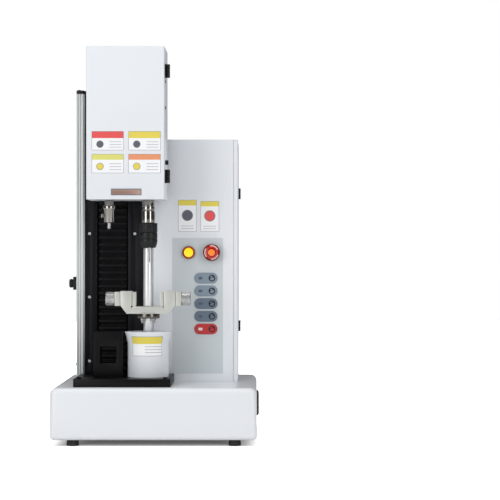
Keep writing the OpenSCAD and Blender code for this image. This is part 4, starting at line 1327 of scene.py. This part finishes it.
@dataclass
class Cabinet:
    """The electrical cabinet with its door, sockets and what stands inside."""

    shell_edge: float = 0.5 * MM
    door_edge: float = 0.7 * MM
    hinge_edge: float = 0.3 * MM
    socket_edge: float = 0.5 * MM
    door_proud: float = 0.05 * MM
    stickers: tuple[Sticker, ...] = (
        Sticker("plate_panel_left", (46.0 * MM, 88.8 * MM), (476.6 * MM, 550.0 * MM),
                PRINT_YELLOW, 13.0 * MM, TALL, PRINT_DARK),
        Sticker("plate_panel_right", (98.0 * MM, 141.0 * MM), (476.6 * MM, 547.0 * MM),
                PRINT_YELLOW, 12.0 * MM, TALL, PRINT_RED),
    )
    controls: Controls = field(default_factory=Controls)

    def build(self, shop: Workshop) -> None:
        """Makes and dresses the pieces of the cabinet.

        Args:
            shop: the modelling steps.
        """
        shop.finish_node("cabinet_shell", WHITE, self.shell_edge)
        shop.finish_node("front_panel", WHITE, self.shell_edge)
        door = shop.finish_node("side_door", WHITE, self.door_edge)
        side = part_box("cabinet_shell")[1].x
        shop.dress_where(door, PLASTIC, lambda face: face.center.x > side + self.door_proud)
        shop.finish_node("side_hinges", PLASTIC, self.hinge_edge)
        shop.finish_node("rear_sockets", PLASTIC, self.socket_edge)
        shop.paint_node("circuit_boards", BOARD)
        shop.paint_node("power_supply", PLATE)
        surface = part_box("front_panel")[0].y
        for sticker in self.stickers:
            sticker.build(shop, surface, "root")
        self.controls.build(shop)


# Where the plates on the head's door stand, in two rows of two.
LEFT_X, RIGHT_X = (-140.0 * MM, -68.5 * MM), (-58.0 * MM, 14.0 * MM)
HIGH_Z, LOW_Z = (656.0 * MM, 698.5 * MM), (605.0 * MM, 647.6 * MM)


@dataclass
class Head:
    """The lifting head: cover, door, hinges and the sensors inside."""

    cover_edge: float = 0.9 * MM
    hinge_edge: float = 0.4 * MM
    inner_edge: float = 0.5 * MM
    door_proud: float = 0.05 * MM
    stickers: tuple[Sticker, ...] = (
        Sticker("plate_head_red", LEFT_X, HIGH_Z, PRINT_RED, 15.4 * MM, WIDE, PRINT_DARK),
        Sticker("plate_head_yellow", RIGHT_X, HIGH_Z, PRINT_YELLOW, 15.4 * MM, WIDE, PRINT_DARK),
        Sticker("plate_head_lime", LEFT_X, LOW_Z, PRINT_LIME, 12.7 * MM, WIDE, PRINT_YELLOW),
        Sticker("plate_head_orange", RIGHT_X, LOW_Z, PRINT_ORANGE, 12.7 * MM, WIDE,
                PRINT_YELLOW),
    )
    name_x: Span = (-97.0 * MM, -28.8 * MM)
    name_z: Span = (555.5 * MM, 570.4 * MM)
    name_thick: float = 0.8 * MM
    name_rim: float = 1.9 * MM
    name_sink: float = 0.3 * MM
    name_edge: float = 0.25 * MM
    name_field: float = 0.7 * MM
    fittings_back: float = 11.0 * MM
    cover_screw: RoundHead = RoundHead(radius=3.4 * MM, height=1.6 * MM, rim=1.5 * MM,
                                       rise=-0.9 * MM, edge=0.2 * MM, sides=32)
    screw_out: float = 0.6 * MM
    screw_z: Span = (812.0 * MM, 753.0 * MM)
    latch: RoundHead = RoundHead(radius=5.2 * MM, height=7.2 * MM, rim=1.2 * MM,
                                 rise=-0.5 * MM, edge=0.3 * MM, grip=0.9 * MM)
    latch_out: float = 3.4 * MM
    latch_z: float = 630.0 * MM

    def build(self, shop: Workshop) -> None:
        """Makes and dresses the pieces of the head.

        Args:
            shop: the modelling steps.
        """
        shop.finish_node("hood_shell", WHITE, self.cover_edge)
        door = shop.finish_node("hood_door", WHITE, self.cover_edge)
        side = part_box("hood_shell")[1].x
        shop.dress_where(door, PLASTIC, lambda face: face.center.x > side + self.door_proud)
        shop.finish_node("hood_hinges", PLASTIC, self.hinge_edge)
        for node in ("carriage", "head_frame", "load_cell", "torque_sensor"):
            shop.finish_node(node, PLATE, self.inner_edge)
        for node in ("guide_blocks", "ball_nut"):
            shop.paint_node(node, SATIN)
        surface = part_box("hood_door")[0].y
        for sticker in self.stickers:
            sticker.build(shop, surface, "head_door")
        self._name_plate(shop, surface)
        self._side_fittings(shop, side)

    def _name_plate(self, shop: Workshop, surface: float) -> None:
        """Makes the bare copper-coloured plate low on the door.

        Args:
            shop: the modelling steps.
            surface: the Y of the door's front.
        """
        plate = shop.block("bare_name_plate",
                           (self.name_x[0], surface - self.name_thick, self.name_z[0]),
                           (self.name_x[1], surface, self.name_z[1]))
        shop.step(plate, TO_FRONT, self.name_rim, -self.name_sink)
        shop.soften(plate, self.name_edge)
        shop.dress(plate, PRINT_EDGE)
        shop.dress_where(plate, COPPER.about("plate", (0, 0, 0), Turn.ALONG_X), lambda face: (
            faces_front(face) and face.center.y > surface - self.name_field))
        shop.hand_over(plate, "head_door", "plate_alloy")

    def _side_fittings(self, shop: Workshop, side: float) -> None:
        """Makes the two cover screws and the latch knob on the right side of the cover.

        Args:
            shop: the modelling steps.
            side: the X of the cover's side.
        """
        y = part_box("hood_shell")[0].y + self.fittings_back
        upper, lower = self.screw_z
        first = self.cover_screw.build(shop, "cover_screw_1", (side + self.screw_out, y, upper),
                                       TO_RIGHT)
        second = shop.twin(first, "cover_screw_2", (0, 0, lower - upper))
        latch = self.latch.build(shop, "cover_latch_knob",
                                 (side + self.latch_out, y, self.latch_z), TO_RIGHT)
        for piece in (first, second, latch):
            shop.dress(piece, PLASTIC)
            shop.hand_over(piece, "head", "black_plastic")


@dataclass
class PushStation:
    """The push spindle with its probe, and the anvil below."""

    spindle_edge: float = 0.3 * MM
    small_edge: float = 0.2 * MM
    anvil_edge: float = 0.6 * MM

    def build(self, shop: Workshop) -> None:
        """Makes and dresses the pieces of the push station.

        Args:
            shop: the modelling steps.
        """
        low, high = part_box("push_spindle")
        axis = ((low.x + high.x) / 2, (low.y + high.y) / 2, low.z)
        shop.finish_node("push_spindle", POLISHED.about("push", axis, Turn.UP),
                         self.spindle_edge)
        shop.finish_node("push_probe", SATIN.about("push", axis, Turn.UP), self.small_edge)
        shop.finish_node("thumb_screw", POLISHED.about("thumb", axis, Turn.ALONG_X),
                         self.small_edge)
        shop.finish_node("anvil_block", BLACK, self.anvil_edge)


@dataclass
class TorsionStation:
    """The torsion spindle, chuck and rod above, the drive and the clamping yoke below."""

    spindle_edge: float = 0.3 * MM
    chuck_edge: float = 0.4 * MM
    hub_screw_edge: float = 0.25 * MM
    cover_edge: float = 0.6 * MM
    yoke_edge: float = 0.4 * MM
    knob_edge: float = 0.2 * MM
    plate: float = 12.5 * MM
    seam: float = 1.2 * MM
    seam_depth: float = 2.6 * MM
    jaw_plate: float = 8.0 * MM
    jaw_clear: float = 0.3 * MM
    relief: float = 2.2 * MM
    relief_out: float = 1.0 * MM
    flange_from: float = 11.5 * MM
    cover_radius: float = 46.0 * MM
    wrap_film: float = 0.4 * MM
    wrap_z: Span = (195.5 * MM, 239.5 * MM)
    wrap_head: float = 16.5 * MM
    wrap_half: float = math.radians(44)
    wrap_line: float = 0.8 * MM
    wrap_rules: tuple[float, ...] = (216.0 * MM, 209.5 * MM, 203.0 * MM)
    wrap_rule_height: float = 1.2 * MM
    wrap_rule_from: float = math.radians(-6)
    wrap_facing: float = 0.5

    def build(self, shop: Workshop) -> None:
        """Makes and dresses the pieces of the torsion station.

        Args:
            shop: the modelling steps.
        """
        low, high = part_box("drive_shaft")
        axis = ((low.x + high.x) / 2, (low.y + high.y) / 2, low.z)
        polished, satin, ground, hub = (finish.about("torsion", axis, Turn.UP)
                                        for finish in (POLISHED, SATIN, GROUND, HUB))
        shop.finish_node("torsion_spindle", polished, self.spindle_edge)
        shop.finish_node("test_rod", ground, self.spindle_edge)
        shop.finish_node("chuck_body", CHUCK, self.chuck_edge)
        shop.finish_node("chuck_sleeve", CHUCK, self.chuck_edge)
        shop.paint_node("chuck_jaws", satin)
        shaft = shop.finish_node("drive_shaft", ground, self.spindle_edge)
        shop.dress_where(shaft, hub, lambda face: (
            math.hypot(face.center.x - axis[0], face.center.y - axis[1]) > self.flange_from))
        shop.finish_node("hub_screws", polished, self.hub_screw_edge)
        shop.paint_node("torsion_gearmotor", satin)
        shop.finish_node("drive_cover", WHITE, self.cover_edge)
        self._yoke(shop)
        for side in ("left", "right"):
            shop.finish_node(f"{side}_jaw", YOKE, self.yoke_edge)
            low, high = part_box(f"{side}_knob")
            middle = (low.x, (low.y + high.y) / 2, (low.z + high.z) / 2)
            shop.finish_node(f"{side}_knob", KNOB.about(f"{side}_knob", middle, Turn.ALONG_X),
                             self.knob_edge)
        self._cover_plate(shop)

    def _yoke(self, shop: Workshop) -> None:
        """Makes the yoke, with seams beside its blocks and a relief hole in each corner.

        Args:
            shop: the modelling steps.
        """
        low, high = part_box("yoke")
        middle = (low.x + high.x) / 2
        jaw_low, jaw_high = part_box("left_jaw")
        block = middle - jaw_high.x + self.jaw_plate
        bar_top = jaw_low.z - self.jaw_clear
        yoke = shop.node_copy("yoke", "yoke_finished")
        for side in (-1, 1):
            corner = (middle + side * (block + self.relief_out), (low.y + high.y) / 2, bar_top)
            shop.cut(yoke, shop.disc("cutter", corner, self.relief, 2 * (high.y - low.y),
                                     Turn.ALONG_Y, sides=24))
            for near in (block + self.seam / 2, high.x - middle - self.plate):
                centre = middle + side * near
                for front, back in ((low.y - SPARE, low.y + self.seam_depth),
                                    (high.y - self.seam_depth, high.y + SPARE)):
                    shop.cut(yoke, shop.block("cutter", (centre - self.seam / 2, front, bar_top),
                                              (centre + self.seam / 2, back, high.z + SPARE)))
        shop.soften(yoke, self.yoke_edge)
        shop.dress(yoke, YOKE)
        shop.hand_over(yoke, shop.bodies["yoke"], YOKE.slot, "yoke")

    def _cover_plate(self, shop: Workshop) -> None:
        """Makes the plate that is wrapped round the front of the drive cover.

        Args:
            shop: the modelling steps.
        """
        low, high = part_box("drive_cover")
        centre = Vector(((low.x + high.x) / 2, (low.y + high.y) / 2, 0))
        plate = shop.node_copy("drive_cover", "plate_drive_cover")
        split = self.wrap_z[1] - self.wrap_head
        edge = self.wrap_line / self.cover_radius
        turn = self.wrap_half - edge
        inside = (self.wrap_z[0] + self.wrap_line, self.wrap_z[1] - self.wrap_line)
        rules = [(low, low + self.wrap_rule_height) for low in self.wrap_rules]
        heights = (self.wrap_z[0], inside[0], split, inside[1], self.wrap_z[1],
                   *(z for rule in rules for z in rule))
        angles = (-self.wrap_half, -turn, self.wrap_rule_from, turn - 2 * edge, turn,
                  self.wrap_half)
        bpy.ops.object.mode_set(mode="EDIT")
        shop.slice_open(((0, 0, z), (0, 0, 1)) for z in heights)
        shop.slice_open((centre, (math.cos(angle), math.sin(angle), 0)) for angle in angles)
        shop.close_edit()
        shop.pick_faces(plate, lambda face: not self._on_front(face, centre))
        bpy.ops.mesh.delete(type="FACE")
        shop.close_edit()
        shop.apply(plate, "SOLIDIFY", thickness=self.wrap_film, offset=1)
        shop.soften(plate, 0)
        shop.dress(plate, PRINT_EDGE)
        shop.dress_where(plate, PRINT_WHITE, lambda face: (
            abs(self._angle(face, centre)) < turn and inside[0] < face.center.z < split))
        shop.dress_where(plate, PRINT_YELLOW, lambda face: (
            abs(self._angle(face, centre)) < turn and split < face.center.z < inside[1]))
        shop.dress_where(plate, PRINT_RULE, lambda face: (
            self.wrap_rule_from < self._angle(face, centre) < turn - 2 * edge
            and any(bottom < face.center.z < top for bottom, top in rules)))
        shop.hand_over(plate, "root", "white_paint")

    @staticmethod
    def _angle(face: bpy.types.MeshPolygon, centre: Vector) -> float:
        """Gives how far round the cover a face lies, from 0 at the front, positive to the right."""
        return math.atan2(face.center.x - centre.x, centre.y - face.center.y)

    def _on_front(self, face: bpy.types.MeshPolygon, centre: Vector) -> bool:
        """Tells whether a face is outside on the cover's front, within the plate's borders.

        Args:
            face: the face.
            centre: a point on the cover's axis.

        Returns:
            Whether it is.
        """
        away = Vector((face.center.x - centre.x, face.center.y - centre.y, 0)).normalized()
        return (face.normal.dot(away) > self.wrap_facing
                and abs(self._angle(face, centre)) < self.wrap_half
                and self.wrap_z[0] < face.center.z < self.wrap_z[1])


@dataclass(frozen=True)
class Lamp:
    """One soft lamp that is aimed at the middle of the tester."""

    name: str
    place: Point
    size: Span
    watts: float
    aim: Point = (0.0, 0.0, 0.42)

    def build(self) -> None:
        """Adds the lamp."""
        ray = Vector(self.aim) - Vector(self.place)
        bpy.ops.object.light_add(type="AREA", location=self.place,
                                 rotation=ray.to_track_quat("-Z", "Y").to_euler())
        lamp = bpy.context.object
        lamp.name = self.name
        lamp.data.shape = "RECTANGLE"
        lamp.data.size, lamp.data.size_y = self.size
        lamp.data.energy = self.watts


@dataclass
class Studio:
    """A pale floor, a white background and soft light."""

    floor_half: float = 7.0
    floor_colour: float = 0.85
    floor_gain: float = 1.35
    floor_glow: float = 0.09
    # Box round the tester in which the camera's floor glow drops to floor_glow; outside it the glow
    # is painted light that washes out cast shadows.
    fade: Span = (0.14, 0.36)
    fill_level: float = 0.5
    mirror_level: float = 0.08
    lamps: tuple[Lamp, ...] = (
        Lamp("left_softbox", (-1.6, -2.2, 0.95), (1.3, 2.2), 26.0),
        Lamp("right_softbox", (1.7, -2.1, 0.95), (0.8, 1.9), 16.5),
        Lamp("top_softbox", (-0.1, -0.5, 2.8), (1.6, 1.2), 16.0),
    )

    def build(self) -> None:
        """Adds the floor, the world and the lamps."""
        bpy.context.scene.view_settings.view_transform = "Standard"
        self._floor()
        self._world()
        for lamp in self.lamps:
            lamp.build()

    def _floor(self) -> None:
        """Adds the floor, which the camera sees brighter, with painted light that whitens it away
        from the tester.
        """
        bpy.ops.object.select_all(action="DESELECT")
        bpy.ops.mesh.primitive_plane_add(size=2 * self.floor_half)
        floor = bpy.context.object
        floor.name = "studio_floor"
        material = bpy.data.materials.new("pale_floor")
        material.use_nodes = True
        tree = material.node_tree
        tree.nodes.remove(tree.nodes["Principled BSDF"])
        camera = add_node(tree, "LightPath", {}).outputs["Is Camera Ray"]
        tint = add_node(tree, "Mix", {"Factor": camera, "A": (*[self.floor_colour] * 3, 1),
                                      "B": (*[self.floor_gain] * 3, 1)}, data_type="RGBA")
        matt = add_node(tree, "BsdfDiffuse", {"Color": tint.outputs["Result"]})
        place = add_node(tree, "TexCoord", {})
        split = add_node(tree, "SeparateXYZ", {0: place.outputs["Object"]})
        reach = calculate(tree, "MAXIMUM", *(calculate(tree, "ABSOLUTE", split.outputs[axis])
                                             for axis in ("X", "Y")))
        # Painted light: the glow rises from floor_glow near the base to full white farther out, so
        # only the shadow under the base stays.
        fade = add_node(tree, "MapRange", {"Value": reach, "From Min": self.fade[0],
                                           "From Max": self.fade[1], "To Min": self.floor_glow},
                        interpolation_type="SMOOTHSTEP")
        seen = calculate(tree, "MULTIPLY", fade.outputs["Result"], camera)
        glow = add_node(tree, "Emission", {"Strength": seen})
        both = add_node(tree, "AddShader", {0: matt.outputs[0], 1: glow.outputs[0]})
        feed(tree, tree.nodes["Material Output"], {"Surface": both.outputs[0]})
        floor.data.materials.append(material)

    def _world(self) -> None:
        """Makes the world white for the camera, dim for mirrors and a soft fill for the rest."""
        world = bpy.data.worlds.new("studio_world")
        world.use_nodes = True
        bpy.context.scene.world = world
        tree = world.node_tree
        path = add_node(tree, "LightPath", {}).outputs
        room = add_node(tree, "Mix", {"Factor": path["Is Glossy Ray"], "A": self.fill_level,
                                      "B": self.mirror_level}, data_type="FLOAT")
        seen = calculate(tree, "MAXIMUM", path["Is Camera Ray"], path["Is Transmission Ray"])
        level = add_node(tree, "Mix", {"Factor": seen, "A": room.outputs["Result"], "B": 1.0},
                         data_type="FLOAT")
        feed(tree, tree.nodes["Background"], {"Color": (1, 1, 1, 1),
                                              "Strength": level.outputs["Result"]})


def main() -> None:
    """Builds the camera, the studio and the sub-assemblies."""
    logging.basicConfig(level=logging.INFO, format="%(message)s")
    Camera().build()
    Studio().build()
    shop = Workshop()
    for part in (BaseUnit(), Column(), Cabinet(), Head(), PushStation(), TorsionStation()):
        log.info("building %s", type(part).__name__)
        part.build(shop)


if __name__ == "__main__":
    main()
